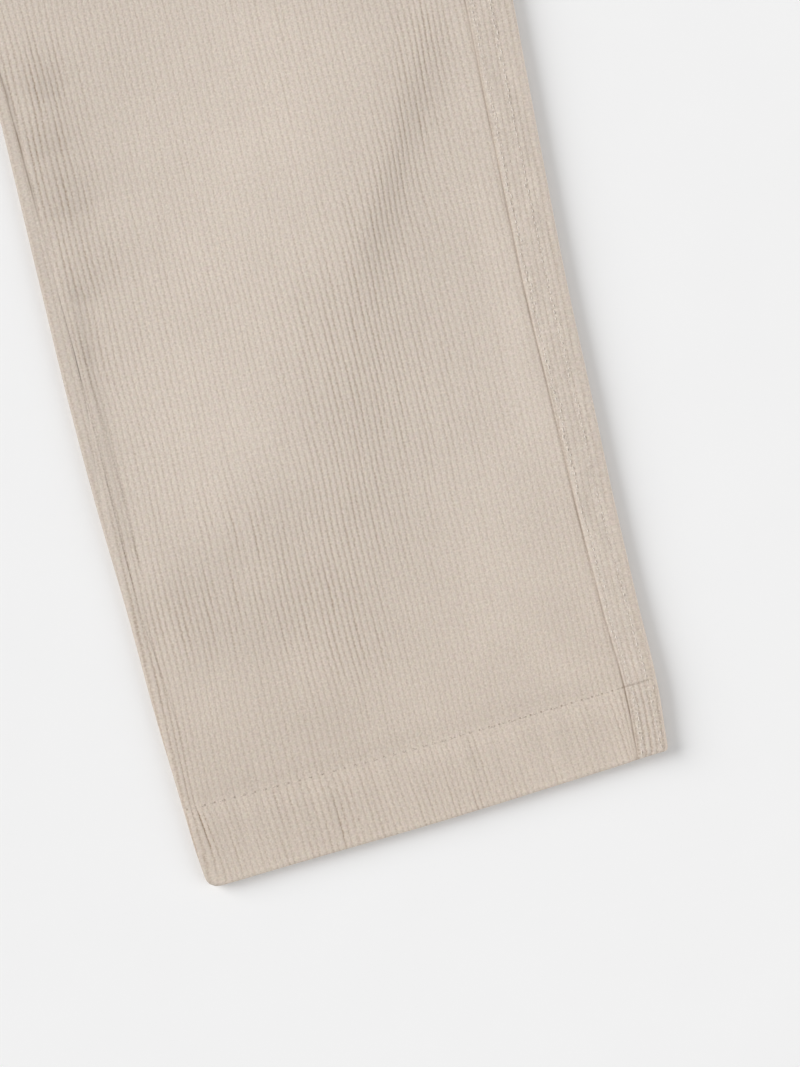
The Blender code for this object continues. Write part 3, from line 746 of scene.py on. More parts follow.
# %% Creases and gathers of a front
CREASE_FREE = (4.0 * MM, 16.0 * MM)     # plain beside the inseam, then rising to full creases
CREASE_FREE_BODY = (20.0 * MM, 30.0 * MM)
CREASE_FREE_HEM = 40.0 * MM
CREASE_FREE_WAIST = (0.900, 0.070)
NEAR_BAND_LIFT = 1.3 * MM        # the lapped front rises to meet the waistband
SWELL = 0.03 * MM                # slow unevenness of laid cloth
GATHER = 0.28 * MM               # short gathers beside the inseam
HEM_SWELL, HEM_RIPPLE = 0.10 * MM, 0.09 * MM
HEM_GROOVE = 0.08 * MM           # the hem's stitches pull the cloth in
STITCH_GROOVE = 1.3 * MM         # half width of that groove


def band_lift(distance):
    """How far the waistband's left end is raised by its right end, by the way to the centre."""
    return (BAND_CLOTH + SEAM_GAP) * smooth((LAP_END + FLY_RAMP - distance) / FLY_RAMP)


def fly_lift(row, distance, side):
    """The left front lies on the right one along the fly."""
    near_band = smooth((row.station - FLY_RISE_UP) / FLY_RISE)
    lift = CLOTH + SEAM_GAP + near_band * NEAR_BAND_LIFT
    lift = np.where(row.station > FLY_BOTTOM_UP + 0.0001, lift, 0.0)
    lift = lift * (1.0 - smooth((distance - FLY_FLAT) / FLY_RAMP))
    sewn_on = smooth((row.station - FRONT_TOP + 42.0 * MM) / (40.0 * MM)) * band_lift(distance)
    return (side == "left") * np.maximum(lift, sewn_on)


def front_creases(at):
    """Height that large creases and the lapped fly add."""
    row, from_edge = at.row, at.across - at.row.inner
    clear = smooth((from_edge - CREASE_FREE[0]) / CREASE_FREE[1]) * (1.0 - at.dip)
    clear = clear * smooth((row.station + HEM_SLOPE) / CREASE_FREE_HEM)
    clear = clear * (1.0 - smooth((row.station - CREASE_FREE_WAIST[0]) / CREASE_FREE_WAIST[1]))
    in_body = smooth((from_edge - CREASE_FREE_BODY[0]) / CREASE_FREE_BODY[1])
    clear = clear * np.where(row.body, in_body, 1.0)
    lift = fly_lift(row, at.across + centre_line(at.up), at.side) * row.body
    return clear * crease_height(CREASES[at.side], at.up, at.across) + lift


def front_gathers(at):
    """Height of fine creases, of gathers beside the inseam and of the swelling hem."""
    up, across = at.up, at.across
    height = crease_height(FINE_CREASES[at.side], up, across)
    height = height + SWELL * wander(across / 0.030, up / 0.045, at.seed + 5)
    ripple = wander(across / 0.0055, up / 0.030, at.seed + 8) * hump(at.line - 8.0 * MM, 14.0 * MM)
    height = height + HEM_SWELL * hump(at.line - 5.0 * MM, 4.0 * MM) + HEM_RIPPLE * ripple
    gather = wander(up / 0.008 + across / 0.016, across / 0.020, at.seed + 9)
    gather = GATHER * gather * hump(at.from_seam, 14.0 * MM) * ~at.row.body
    gather = gather * (0.25 + 0.75 * smooth((up - 0.205) / 0.030))
    beside = smooth(at.from_seam / (2.0 * MM))
    return at.away * height + beside * (gather - HEM_GROOVE * hump(at.line, STITCH_GROOVE))


# %% What sinks into a front
SEAM_TROUGH, SEAM_TROUGH_WIDTH = 0.06 * MM, 0.5 * MM
PRESSED_TROUGH, PRESSED_WIDTH = 0.12 * MM, 0.8 * MM
LEDGE_TROUGH, LEDGE_TROUGH_WIDTH = 0.06 * MM, 0.4 * MM
WAIST_TROUGH, WAIST_TROUGH_WIDTH = 0.25 * MM, 1.2 * MM
LEDGE_LINE = 0.1 * MM            # the dark line lies just inside the folded edge
FRONT_PUCKER = 0.07 * MM
DRAG = 0.7 * MM                  # the gathers drag the ribs sideways


def front_ribs(at, puff_shade):
    """Depth of the grooves: strong in creases and in the hem's band, pulled flat by thread."""
    depth = rib_depth(at.grain, at.up, at.seed)
    depth = depth * (1.0 + strokes(RIB_STRENGTH[at.side], at.up, at.across) + 0.5 * puff_shade)
    own = wander(np.floor(at.grain / RIB) * 1.3, at.up / 0.030, at.seed + 6)
    in_band = 0.08 + np.clip(own - 0.20, 0.0, 1.3) + 0.2 * np.clip(own, -1.0, 0.20)
    depth = depth * (1.0 + at.in_band * in_band) * (1.0 - 0.55 * hump(at.line, 0.9 * MM))
    return depth * smooth(0.15 + at.from_seam / (1.5 * MM))


def front_sink(at, depth, strain, drawn):
    """How far the surface lies below the plain cloth; drawn are the pressed lines."""
    pressed = sum(strength * hump(beside, PRESSED_WIDTH) for beside, strength in drawn)
    pressed = pressed * smooth(at.from_seam / (2.0 * MM))
    pucker = FRONT_PUCKER * wander(at.up / 0.0065, 0.3 * at.across / 0.010, at.seed + 7)
    return (rib_sink(at.grain) * depth - pucker * hump(at.to_ledge - 2.5 * MM, 3.5 * MM)
            + SEAM_TROUGH * strain * hump(at.from_seam, SEAM_TROUGH_WIDTH)
            + PRESSED_TROUGH * pressed
            + LEDGE_TROUGH * hump(at.to_ledge - LEDGE_LINE, LEDGE_TROUGH_WIDTH)
            + WAIST_TROUGH * hump(FRONT_TOP - at.row.station, WAIST_TROUGH_WIDTH))


def front_stray(at):
    """How far the ribs stray sideways."""
    drag = DRAG * wander(at.up / 0.030, at.across / 0.024, at.seed + 12)
    drag = drag * hump(at.from_seam - 8.0 * MM, 12.0 * MM) * smooth((at.up - 0.150) / 0.050)
    stray = rib_stray(at.grain, at.up, at.seed) + np.clip(at.line, 0.0, None) * HEM_ROPE + drag
    return at.away * (stray + crowded(at.side, at.up, at.across))


# %% Painted shade and light of a front
def front_shade(at, strain):
    """Shade in the inseam, at the folded edge of the outseam and under the waistband."""
    edge_press = 0.85 + 0.5 * wander(at.up / 0.016, 0.0, at.seed + 14) + 0.6 * at.in_band
    second = 0.4 + 0.9 * wander(at.up / 0.030, 0.0, at.seed + 17)
    return (seam_shade(at.row, at.up, at.from_seam) * strain
            + 0.72 * np.clip(edge_press, 0.3, 1.7) * hump(at.to_ledge - LEDGE_LINE, 0.32 * MM)
            + 0.16 * np.clip(second, 0.0, 1.4) * hump(at.to_ledge - 2.0 * MM, 0.4 * MM)
            + 0.45 * hump(FRONT_TOP - at.row.station, 0.4 * MM))


def front_painted_light_and_tone(at, puff_shade):
    """Painted light and shade: the strokes, the folds, the shade of the puffs, a paler band where the
    cloth dips to the outseam's edge, the hem's edge, and light below the hem's stitches with shade above
    them; and paler pile where the thread draws the inseam.
    """
    return (strokes(PAINTED_LIGHT_STROKES[at.side], at.up, at.across) + painted_fold_light(at.side, at.face_out)
            - 0.065 * puff_shade + 0.022 * hump(at.to_ledge - 6.0 * MM, 6.0 * MM)
            + painted_hem_edge_light(at.row) + drawn_tone(at.row, at.up, at.from_seam)
            + 0.028 * hump(at.line - 4.0 * MM, 4.0 * MM) - 0.030 * hump(at.line + 4.0 * MM, 4.0 * MM))


# %% Build the fronts
def front_surface(side, station, grain, inset=0.0):
    """Places and shading values of a front; grain is the place across the flat cloth."""
    at = front_form(side, station, grain)
    puff_shade = puffs(side, at.up, at.across) * smooth(at.from_seam / (1.5 * MM)) * ~at.row.body
    drawn = [pressed_line(line, at.up, at.across) for line in PRESSED_LINES]
    strain = seam_strain(at.up, at.seed)
    depth = front_ribs(at, puff_shade)
    height = at.height + front_creases(at) + front_gathers(at)
    out = CLOTH / 2 - front_sink(at, depth, strain, drawn) - inset
    place = on_trousers(side, at.up, at.across + front_stray(at) + at.face_out * out,
                        height + at.face_up * out)
    near_hem = (np.abs(at.line) < 6.0 * MM) & (inset < 0.01 * MM)
    clear_of_seam = at.from_seam > 0.5 * MM
    allowance, crease = [(beside, strength * clear_of_seam, 0.0) for beside, strength in drawn]
    travels = triples(at.up.shape, cloth=(at.grain, at.up, depth / RIB_DEPTH),
                      sewing=(at.across, at.line, near_hem),
                      cover=(0.0, front_shade(at, strain), front_painted_light_and_tone(at, puff_shade)),
                      allowance=allowance, crease=crease)
    return SimpleNamespace(place=place, travels=travels)


def front_sheet(side):
    stations, inset, flat = with_hem(leg_stations(*FRONT_STEPS[side]))
    row = leg_row(stations)
    begin, end = grain_start(row, side), row.outseam + SEAM_LAP
    columns = rib_columns(begin.min(), end.max())
    first = np.searchsorted(columns, begin, side="right") - 1
    last = np.searchsorted(columns, end, side="left")
    grain = np.clip(columns[None, :], begin[:, None], end[:, None])
    grid = front_surface(side, stations[:, None], grain, inset[:, None])
    grid.flat = unit_square(columns, flat)
    return cloth_mesh("front_%s_cloth" % side, grid, first, last, side == "right")


front_left, front_right = front_sheet("left"), front_sheet("right")
describe((front_left, front_right))

# %% [markdown]
# ## The backs
#
# A back starts at the inseam, goes round the inner fold, lies flat on the table, comes up
# round the outer fold and ends as a folded strip on top of the front: a felled seam. Only
# its folds and that strip are seen closely, so those get fine columns that follow the fold,
# and the part that lies on the table gets few. So a back has three zones: the inner fold,
# the underside, and the outer fold with the strip.

# %% Where the plain cloth of a back lies
ZONE_EDGE = 3.0 * MM             # the fine zones reach this far onto the underside
ZONE_FADE = 3.0 * MM             # the ribs of those zones fade out over this
INNER_RUN = 2.9 * MM             # round the inner fold, from its side to the underside
FAR = 1.0                        # a distance that nothing reaches
INNER_ZONE, UNDERSIDE, OUTER_ZONE = 0, 1, 2


def back_columns():
    """Columns as (zone, length): round the inseam, over the underside, round the outseam."""
    inner = -rib_columns(-8.0 * MM, INNER_RUN + ZONE_EDGE)
    inner = inner[(inner < 7.6 * MM) & (inner > -INNER_RUN - ZONE_EDGE)]
    middle = np.linspace(0.0, 1.0, 14)
    outer = rib_columns(-ZONE_EDGE, 27.5 * MM, RIB_FINE)
    outer = outer[outer > -ZONE_EDGE]
    zone = np.repeat((INNER_ZONE, UNDERSIDE, OUTER_ZONE), (len(inner), len(middle), len(outer)))
    return zone, np.concatenate((inner, middle, outer))


def back_inner(row, at_seam, seam_at, centre):
    """Round the inner fold; in the body, flat to the centre seam."""
    turn = np.clip(at_seam / row.inner_bend, -math.pi / 2, math.pi / 2)
    sideways, upward, face_side, face_rise = flattened(turn)
    beyond = np.abs(at_seam - turn * row.inner_bend)
    flat_run = (seam_at - at_seam) / (seam_at + INNER_RUN + ZONE_EDGE)
    folded = (row.inner_fold - row.inner_bend * sideways + beyond,
              CLOTH / 2 + row.inner_bend * (1.0 + upward) - hem_press(row, upward),
              -face_side, face_rise)
    flat = (centre + flat_run * (row.inner_fold + ZONE_EDGE - centre), CLOTH / 2, 0.0, -1.0)
    return [np.where(row.body, *pair) for pair in zip(flat, folded)]


def back_under(row, length):
    """Over the underside, from one fold to the other."""
    low, high = row.inner_fold + ZONE_EDGE, row.outer_fold - ZONE_EDGE
    return low + (high - low) * length, CLOTH / 2, 0.0, -1.0


def back_outer(row, run, bend):
    """Round the outer fold and back over the front."""
    sideways, upward, face_side, face_rise = flattened(bend - math.pi / 2)
    over = np.where(run < 0.0, run, bend * row.outer_bend - run)
    return (row.outer_fold + row.outer_bend * sideways + over,
            CLOTH / 2 + row.outer_bend * (1.0 + upward) - hem_press(row, upward), face_side, face_rise)


def back_form(side, station, zone, length):
    """The plain cloth of a back, and the distances that its seams are drawn from."""
    row = leg_row(station)
    rise = np.maximum(row.station - CROTCH_UP, 0.0) / (FRONT_TOP - CROTCH_UP) * (BACK_TOP - FRONT_TOP)
    centre = -centre_line(row.station + rise) + SEAM_GAP / 2
    seam_at = row.inseam + SEAM_TUCK
    at_seam, run = np.minimum(length, seam_at), np.minimum(length, row.strip_end)
    bend = np.clip(run / row.outer_bend, 0.0, math.pi)
    in_inner, in_outer = zone == INNER_ZONE, zone == OUTER_ZONE
    zones = zip(back_inner(row, at_seam, seam_at, centre), back_under(row, length),
                back_outer(row, run, bend))
    across, height, face_out, face_up = [np.where(in_inner, inner, np.where(in_outer, outer, under))
                                         for inner, under, outer in zones]
    start = np.where(row.body, centre, row.inner)
    part = np.clip((across - start) / (row.outer_fold - start), 0.0, 1.0)
    up = row.station + part * (row.outer_up - row.station) + rise * (1.0 - part ** BACK_CURVE)
    up = np.where(in_outer & (run > 0.0) & (bend < math.pi), row.outer_up, up)
    up = up - hem_sag(up, across)
    inner_shown = smooth((at_seam + INNER_RUN) / ZONE_FADE) * in_inner
    return SimpleNamespace(
        side=side, seed=SEEDS[side] + 100, row=row, across=across, up=up, height=height,
        face_out=face_out, face_up=face_up, line=hem_line(across) - up,
        grain=np.where(in_inner, -at_seam, np.where(in_outer, run, across)),
        from_edge=np.where(in_outer, row.strip_end - run, FAR),
        from_seam=np.where(in_inner, seam_at - at_seam, FAR),
        on_strip=in_outer & (bend >= math.pi), in_outer=in_outer, inner_shown=inner_shown,
        shown=smooth((run + 1.0 * MM) / ZONE_FADE) * in_outer + inner_shown)


print("columns on a back:", len(back_columns()[0]))

# %% What sinks into a back
STRIP_LIP, LIP_DROP = 2.6 * MM, 0.22 * MM       # the strip rounds down to its edge
STRIP_TUCK, TUCK_DROP = 0.5 * MM, 0.60 * MM     # and tucks under at the edge itself
BAND_TUCK = 1.4 * MM             # the strip's top goes under the waistband
STRIP_PUCKER = 0.09 * MM
ROW_GROOVE, HEM_LINE_GROOVE = 0.04 * MM, 0.10 * MM


def back_ribs(at):
    """Depth of the grooves: a little stronger on the strip and in the hem's band."""
    in_band = smooth(at.line / (3.0 * MM))
    own = 0.6 + 0.25 * wander(at.grain / 0.010, at.up / 0.030, at.seed + 6)
    return rib_depth(at.grain, at.up, at.seed) * (1.0 + 0.20 * at.on_strip + in_band * own)


def strip_puckers(at):
    """Height of the crosswise puckers between the strip's two rows of stitches."""
    pucker = STRIP_PUCKER * wander(at.up / 0.011, at.from_edge / 0.0060, at.seed + 7) * at.on_strip
    in_band = smooth(at.line / (3.0 * MM))
    return pucker * smooth(at.from_edge / (2.0 * MM)) * (1.0 - 0.6 * in_band)


def back_sink(at, depth, strain, pull):
    """How far the surface lies below the plain cloth; pull is that of the strip's stitches."""
    to_waist = smooth((at.row.station - FRONT_TOP + 6.0 * MM) / (6.0 * MM))
    return (rib_sink(at.grain) * depth * at.shown * (1.0 - 0.5 * np.clip(pull, 0.0, 1.0))
            + ROW_GROOVE * pull + HEM_LINE_GROOVE * hump(at.line, STITCH_GROOVE) * at.shown
            + LIP_DROP * np.clip(1.0 - at.from_edge / STRIP_LIP, 0.0, 1.0) ** 2
            + TUCK_DROP * np.clip(1.0 - at.from_edge / STRIP_TUCK, 0.0, 1.0) ** 2
            + SEAM_TROUGH * strain * hump(at.from_seam, SEAM_TROUGH_WIDTH)
            + BAND_TUCK * smooth(at.face_up) * at.in_outer * to_waist - strip_puckers(at))


def back_shade(at, strain):
    """Shade in the inseam, under the strip's edge and in its line of hem stitches."""
    return (seam_shade(at.row, at.up, at.from_seam) * strain + hump(at.from_edge, 0.30 * MM)
            + 0.65 * hump(at.line, 0.30 * MM) * at.on_strip)


def back_painted_light_and_tone(at):
    """Painted light on the crests of the puckers and shade in their hollows, painted shade on the inner
    fold, painted light and shade on the folds and the hem's edge, a darker strip, and paler pile where
    the thread draws the inseam.
    """
    return (strip_puckers(at) / (3.5 * MM) - 0.008 * at.on_strip - 0.04 * at.inner_shown
            + painted_fold_light(at.side, at.face_out) * (at.face_up > -0.2)
            + painted_hem_edge_light(at.row) + drawn_tone(at.row, at.up, at.from_seam))


# %% Build the backs
def back_surface(side, station, zone, length, inset=0.0):
    """Places and shading values of a back, by zone and length within the zone."""
    at = back_form(side, station, zone, length)
    from_rows = [at.from_edge - place for place in OUTSEAM_ROWS]
    pull = sum(hump(distance, 1.0 * MM) for distance in from_rows) * at.on_strip
    strain, depth = seam_strain(at.up, at.seed), back_ribs(at)
    stray = 0.20 * MM * wander(at.from_edge / 0.020, at.up / 0.040, at.seed + 2)
    stray = stray * at.on_strip * smooth(at.from_edge / (3.0 * MM))
    out = CLOTH / 2 - back_sink(at, depth, strain, pull) - inset
    place = on_trousers(side, at.up, at.across + stray + at.face_out * out, at.height + at.face_up * out)
    nearest = np.where(np.abs(from_rows[0]) < np.abs(from_rows[1]), *from_rows)
    stitched = at.on_strip & (np.abs(nearest) < 3.0 * MM)
    plain = (1.0 - at.shown) * (zone == UNDERSIDE)
    travels = triples(at.up.shape, cloth=(at.grain, at.up, at.shown * depth / RIB_DEPTH),
                      sewing=(at.up, nearest, 2.0 * stitched),
                      cover=(plain, back_shade(at, strain), back_painted_light_and_tone(at)))
    return SimpleNamespace(place=place, travels=travels)


def back_sheet(side):
    stations, inset, flat = with_hem(leg_stations(*BACK_STEPS[side]))
    row = leg_row(stations)
    zone, length = back_columns()
    spare_in = (zone == INNER_ZONE) & (length > (row.inseam + SEAM_TUCK)[:, None])
    spare_out = (zone == OUTER_ZONE) & (length > row.strip_end[:, None])
    first = np.maximum(spare_in.sum(axis=1) - 1, 0)
    last = len(zone) - 1 - np.maximum(spare_out.sum(axis=1) - 1, 0)
    grid = back_surface(side, stations[:, None], zone[None, :], length[None, :], inset[:, None])
    steps = np.linalg.norm(np.diff(grid.place[len(stations) // 2], axis=0), axis=1)
    run = np.concatenate(([0.0], np.cumsum(steps + 0.1 * MM)))
    grid.flat = unit_square(run, flat)
    return cloth_mesh("back_%s_cloth" % side, grid, first, last, side == "left")


back_left, back_right = back_sheet("left"), back_sheet("right")
describe((back_left, back_right))

# %% [markdown]
# ## The waistband
#
# A waistband is a straight strip cut across the ribs' direction and folded along its top
# edge, so its ribs run round the waist. It is one surface with a U section: the outer face
# goes up, turns over the fold and comes down inside. Its left end laps over its right end.

# %% Path of the band round the waist
BAND_HEIGHT = 40.0 * MM
BAND_TOP_HALF = 0.215
BAND_BEND = 1.6 * MM
BAND_STEP = 6.0 * MM
BAND_BELOW, BAND_TOP = BAND_CLOTH / 2, BAND_CLOTH / 2 + 2.0 * BAND_BEND


def waist_seam(x):
    """Y of the front's waist seam at a place across the trousers."""
    row = leg_row(FRONT_TOP)
    fold_x, fold_y, _ = on_trousers("left", row.outer_up, row.outer_fold, 0.0)
    centre = HEM_Y + WAIST_FRONT
    inside = centre + (fold_y - centre) * np.abs(x) / fold_x
    return np.where(np.abs(x) > fold_x, fold_y + (np.abs(x) - fold_x) * math.tan(LEG_LEAN), inside)


def band_path():
    """Rows of x, y, height, facing in x and facing up, from the right end to the left end."""
    fold = WAIST_HALF - BAND_BEND - BAND_CLOTH / 2
    right = np.concatenate((BAND_OVERLAP - np.array((0.0, 0.3, 1.0)) * MM,
                            np.arange(BAND_OVERLAP - 4.0 * MM, -fold, -BAND_STEP)))
    under = np.linspace(-fold, fold, 76)[1:-1]
    rise = (BACK_TOP - FRONT_TOP) * math.cos(LEG_LEAN)
    under_y = waist_seam(under) + rise * (1.0 - (np.abs(under) / fold) ** BACK_CURVE)
    left = np.concatenate((np.arange(fold - BAND_STEP / 2, LAP_END + FLY_RAMP, -BAND_STEP),
                           np.arange(LAP_END + FLY_RAMP - 1.5 * MM, LAP_END, -1.5 * MM),
                           np.arange(LAP_END, -FLY_EDGE + 2.0 * MM, -3.0 * MM),
                           -FLY_EDGE + np.array((1.0, 0.3, 0.0)) * MM))
    turn = np.linspace(math.pi, 0.0, 12)
    bend_x, bend_z = -fold - BAND_BEND * np.sin(turn), BAND_BELOW + BAND_BEND * (1.0 - np.cos(turn))
    back = turn[::-1]
    pieces = (
        (right, waist_seam(right), BAND_TOP, 0.0, 1.0),
        (bend_x, waist_seam(bend_x), bend_z, -np.sin(turn), -np.cos(turn)),
        (under, under_y, BAND_BELOW, 0.0, -1.0),
        (-bend_x[::-1], waist_seam(bend_x[::-1]), bend_z[::-1], np.sin(back), -np.cos(back)),
        (left, waist_seam(left), BAND_TOP + band_lift(left), 0.0, 1.0),
    )
    return [np.concatenate(part) for part in zip(*(np.broadcast_arrays(*piece) for piece in pieces))]


def run_along(x, height):
    """Way along the band, from its right end."""
    return np.cumsum(np.hypot(np.diff(x, prepend=x[..., :1]), np.diff(height, prepend=height[..., :1])),
                     axis=-1)


print("rows round the waistband:", len(band_path()[0]))

# %% The band's U section and its surface
BAND_SEED = 301
BAND_ROWS = (2.0 * MM, BAND_HEIGHT - 3.0 * MM)  # its two rows of stitches, from the lower edge
BAND_EDGE_ROLL, BAND_EDGE_WIDTH = 1.7 * MM, 0.75 * MM
BAND_SWELL = 0.22 * MM
BAND_GROOVE = 0.25 * MM
BAND_CLOSING = 1.4 * MM          # the two ends close over this length
END_ROWS = 40


def band_section():
    """Rise, offset from the middle layer and length round the U, from the outer lower edge."""
    half = BAND_CLOTH / 2
    straight = BAND_HEIGHT - half
    total = 2.0 * straight + math.pi * half
    round_it = rib_columns(0.0, total, np.array((0.0, 0.16, 0.5, 0.84)))
    round_it = np.unique(np.clip(round_it, 0.0, total))
    turn = np.clip((round_it - straight) / half, 0.0, math.pi)
    beyond = np.maximum(round_it - straight - math.pi * half, 0.0)
    rise = np.minimum(round_it, straight) + half * np.sin(turn) - beyond
    return rise, half * np.cos(turn), np.sin(turn), np.cos(turn), round_it, total


def band_place(path, section):
    """Places on the band's surface, the way along it, its rib depth and the way from its edge."""
    x, y, height, face_x, face_up = [part[None, :] for part in path]
    rise, offset, edge_up, edge_out, round_it, total = [np.asarray(part)[..., None] for part in section]
    number = np.arange(x.shape[1])      # each end closes only where the path begins or ends
    from_end = np.minimum(np.abs(x - BAND_OVERLAP) + FAR * (number > END_ROWS),
                          np.abs(x + FLY_EDGE) + FAR * (number < len(number) - END_ROWS))
    closing = np.sqrt(np.clip(1.0 - np.clip(1.0 - from_end / BAND_CLOSING, 0.0, 1.0) ** 2, 0.02, 1.0))
    along = run_along(x, height)
    outer = np.minimum(round_it, total - round_it)
    depth = rib_depth(round_it, along, BAND_SEED)
    stitched = sum(hump(outer - place, STITCH_GROOVE) for place in BAND_ROWS)
    swell = BAND_SWELL * wander(along / 0.028, round_it / 0.030, BAND_SEED + 4) * (face_up > 0.5)
    sink = (rib_sink(round_it) * depth * (1.0 - 0.5 * np.clip(stitched, 0.0, 1.0))
            + BAND_GROOVE * stitched + BAND_EDGE_ROLL * hump(outer, BAND_EDGE_WIDTH)
            - swell * smooth(outer / (4.0 * MM)))
    narrow = 1.0 + rise / BAND_HEIGHT * (BAND_TOP_HALF / WAIST_HALF - 1.0)
    narrow = np.where(np.abs(x) > LAP_END + FLY_RAMP, narrow, 1.0)
    out = (offset - sink * edge_out) * closing
    place = np.stack(np.broadcast_arrays(x * narrow + face_x * out,
                                         y + SEAM_SHOWN + rise - sink * edge_up,
                                         height + face_up * out), axis=-1)
    return place, along, depth, outer


# %% Build the waistband
def waistband_sheet():
    section = band_section()
    place, along, depth, outer = band_place(band_path(), section)
    shape = place.shape[:2]
    near = np.where(outer < 0.5 * BAND_HEIGHT, outer - BAND_ROWS[0], outer - BAND_ROWS[1])
    # the middle value of cover is painted shade along the band's two lower edges
    travels = triples(shape, cloth=(section[4][:, None], along, depth / RIB_DEPTH),
                      sewing=(along, near, 2.0 * (np.abs(near) < 3.0 * MM)),
                      cover=(0.0, 0.5 * hump(outer, 0.4 * MM), 0.0))
    grid = SimpleNamespace(place=place, travels=travels, flat=unit_square(along[0], section[4]))
    rows = np.zeros(shape[0], dtype=int)
    return cloth_mesh("waistband_cloth", grid, rows, rows + shape[1] - 1, False)


waistband = waistband_sheet()
describe((waistband,))

# %% [markdown]
# ## Sewing thread
#
# A lockstitch shows as a row of short raised dashes that dive into the cloth at both ends.
# Curves with a bevel could make them one by one, but more than two thousand curves are slow
# and heavy. Instead each dash is five rings of a thin tube, worked out for a whole row at
# once from points on the cloth, and rows that belong together are one joined mesh.


# %% Rows of stitches
THREAD = 0.20 * MM               # radius
RING_ALONG = np.array((-1.0, -0.72, 0.0, 0.72, 1.0))
RING_LIFT = np.array((-0.30, 0.02, 0.10, 0.02, -0.30)) * MM
RING_SIZE = np.array((0.85, 1.0, 1.0, 1.0, 0.85))
SIDES = 6
STEP = 0.8 * MM                  # a seam's direction is taken over this much to each side


def unit(vectors):
    return vectors / np.linalg.norm(vectors, axis=-1, keepdims=True)


def ring_faces(rings, sides):
    """Faces between neighbouring rings of points, as point numbers."""
    ring, side = np.meshgrid(np.arange(rings - 1), np.arange(sides), indexing="ij")
    here, there = ring * sides + side, ring * sides + (side + 1) % sides
    return np.stack((here, there, there + sides, here + sides), axis=-1).reshape(-1, 4)


def stitch_mesh(name, rows):
    """One mesh of dashes. A row is (middles, directions along the seam, outward, length)."""
    angle = np.arange(SIDES)[:, None] * math.tau / SIDES
    chance = np.random.default_rng(len(name))
    points = []
    for middle, along, outward, length in rows:
        lengths = length * chance.uniform(0.55, 1.08, len(middle))[:, None, None]
        bury = chance.uniform(-0.15, 0.03, len(middle))[:, None, None] * MM
        slip = chance.normal(0.0, 0.12, len(middle))[:, None] * MM
        along = unit(along)
        outward = unit(outward - along * np.sum(outward * along, axis=1, keepdims=True))
        aside = np.cross(along, outward)
        centre = ((middle + aside * slip)[:, None] + along[:, None] * RING_ALONG[:, None] * lengths / 2
                  + outward[:, None] * (RING_LIFT[:, None] + bury))
        ring = aside[:, None, None] * np.cos(angle) + outward[:, None, None] * np.sin(angle)
        points.append((centre[:, :, None] + ring * (THREAD * RING_SIZE)[:, None, None]).reshape(-1, 3))
    points = np.concatenate(points)
    dash = len(RING_ALONG) * SIDES
    starts = np.arange(0, len(points), dash)[:, None, None]
    faces = (ring_faces(len(RING_ALONG), SIDES)[None] + starts).reshape(-1, 4)
    return mesh_object(name, points, faces.tolist())


def steps_along(start, end, pitch, seed):
    """Middles of the stitches between two places, a little uneven."""
    count = int(abs(end - start) / pitch)
    even = np.linspace(start, end, count + 1)[:-1] + (end - start) / count / 2
    return even + np.random.default_rng(seed).normal(0.0, 0.035 * pitch, count)


def row_on(surface, places, length):
    """A row of dashes on a surface given as a function of the distance along the seam."""
    middle, before, after = surface(places), surface(places - STEP), surface(places + STEP)
    return middle, after - before, np.broadcast_to((0.0, 0.0, 1.0), middle.shape), length


# %% Stitches of the legs
def strip_place(side, row, from_edge):
    """A place on the outseam's strip, so far out from its folded edge."""
    length = row.strip_end - from_edge
    return back_surface(side, row.station, np.full(length.shape, OUTER_ZONE), length).place


def hem_stitches(side):
    """The hem's row, over the front and then over the outseam's strip."""
    def on_hem(across):
        return front_surface(side, station_at(hem_line(across), across), across).place

    def on_strip(across):
        row = leg_row(station_at(hem_line(across), across))
        return strip_place(side, row, across - row.outseam)

    row = leg_row(hem_line(-0.090))
    strip = steps_along(row.outseam + 1.2 * MM, row.outer_fold - 0.6 * MM, HEM_PITCH, 5)
    front = steps_along(row.inner + 2.6 * MM, row.outseam - 0.8 * MM, HEM_PITCH, 6)
    return stitch_mesh("hem_stitches_" + side, [row_on(on_hem, front, 3.0 * MM),
                                                row_on(on_strip, strip, 3.0 * MM)])


def outseam_stitches(side):
    """Two uneven rows that stand clear of the pile here and sink into it there."""
    rows = []
    for number, (from_edge, waver) in enumerate(zip(OUTSEAM_ROWS, (0.45 * MM, 0.30 * MM))):
        places = steps_along(1.2 * MM - HEM_SLOPE, FRONT_TOP - 2.0 * MM, OUTSEAM_PITCH, 20 + number)
        slip = np.random.default_rng(60 + number).normal(0.0, waver, len(places))

        def on_strip(station, from_edge=from_edge + slip):
            return strip_place(side, leg_row(station), from_edge)

        middle, along, outward, length = row_on(on_strip, places, 1.8 * MM)
        buried = 0.12 * wander(places / 0.022, number, 62) + 0.10 * (places < 0.120) - 0.06
        sunk = np.clip(buried, -0.06, 0.3)[:, None] * MM
        rows.append((middle - outward * sunk, along, outward, length))
    return stitch_mesh("outseam_stitches_" + side, rows)


threads = [hem_stitches("left"), hem_stitches("right")]
threads += [outseam_stitches("left"), outseam_stitches("right")]
print("stitches on the legs:", [thread.name for thread in threads])


# %% Stitches of the fly, the centre seam and the waistband
FLY_WIDTH, FLY_BEND = 38.0 * MM, 30.0 * MM
FLY_LOW, FLY_HIGH = HEM_Y + 0.848, HEM_Y + WAIST_FRONT - 1.5 * MM
FINE_PITCH, FINE_STITCH = 3.4 * MM, 2.4 * MM
CENTRE_ROWS = ((2.2 * MM, 0.792), (8.4 * MM, 0.796))    # from the centre seam, and lowest place


def on_front(side, x, y):
    """A point on a front's cloth under a place on the trousers, for arrays of x and y."""
    up, across = on_leg(np.abs(x) if side == "left" else x, y - HEM_Y)
    return front_surface(side, station_at(up, across), across).place


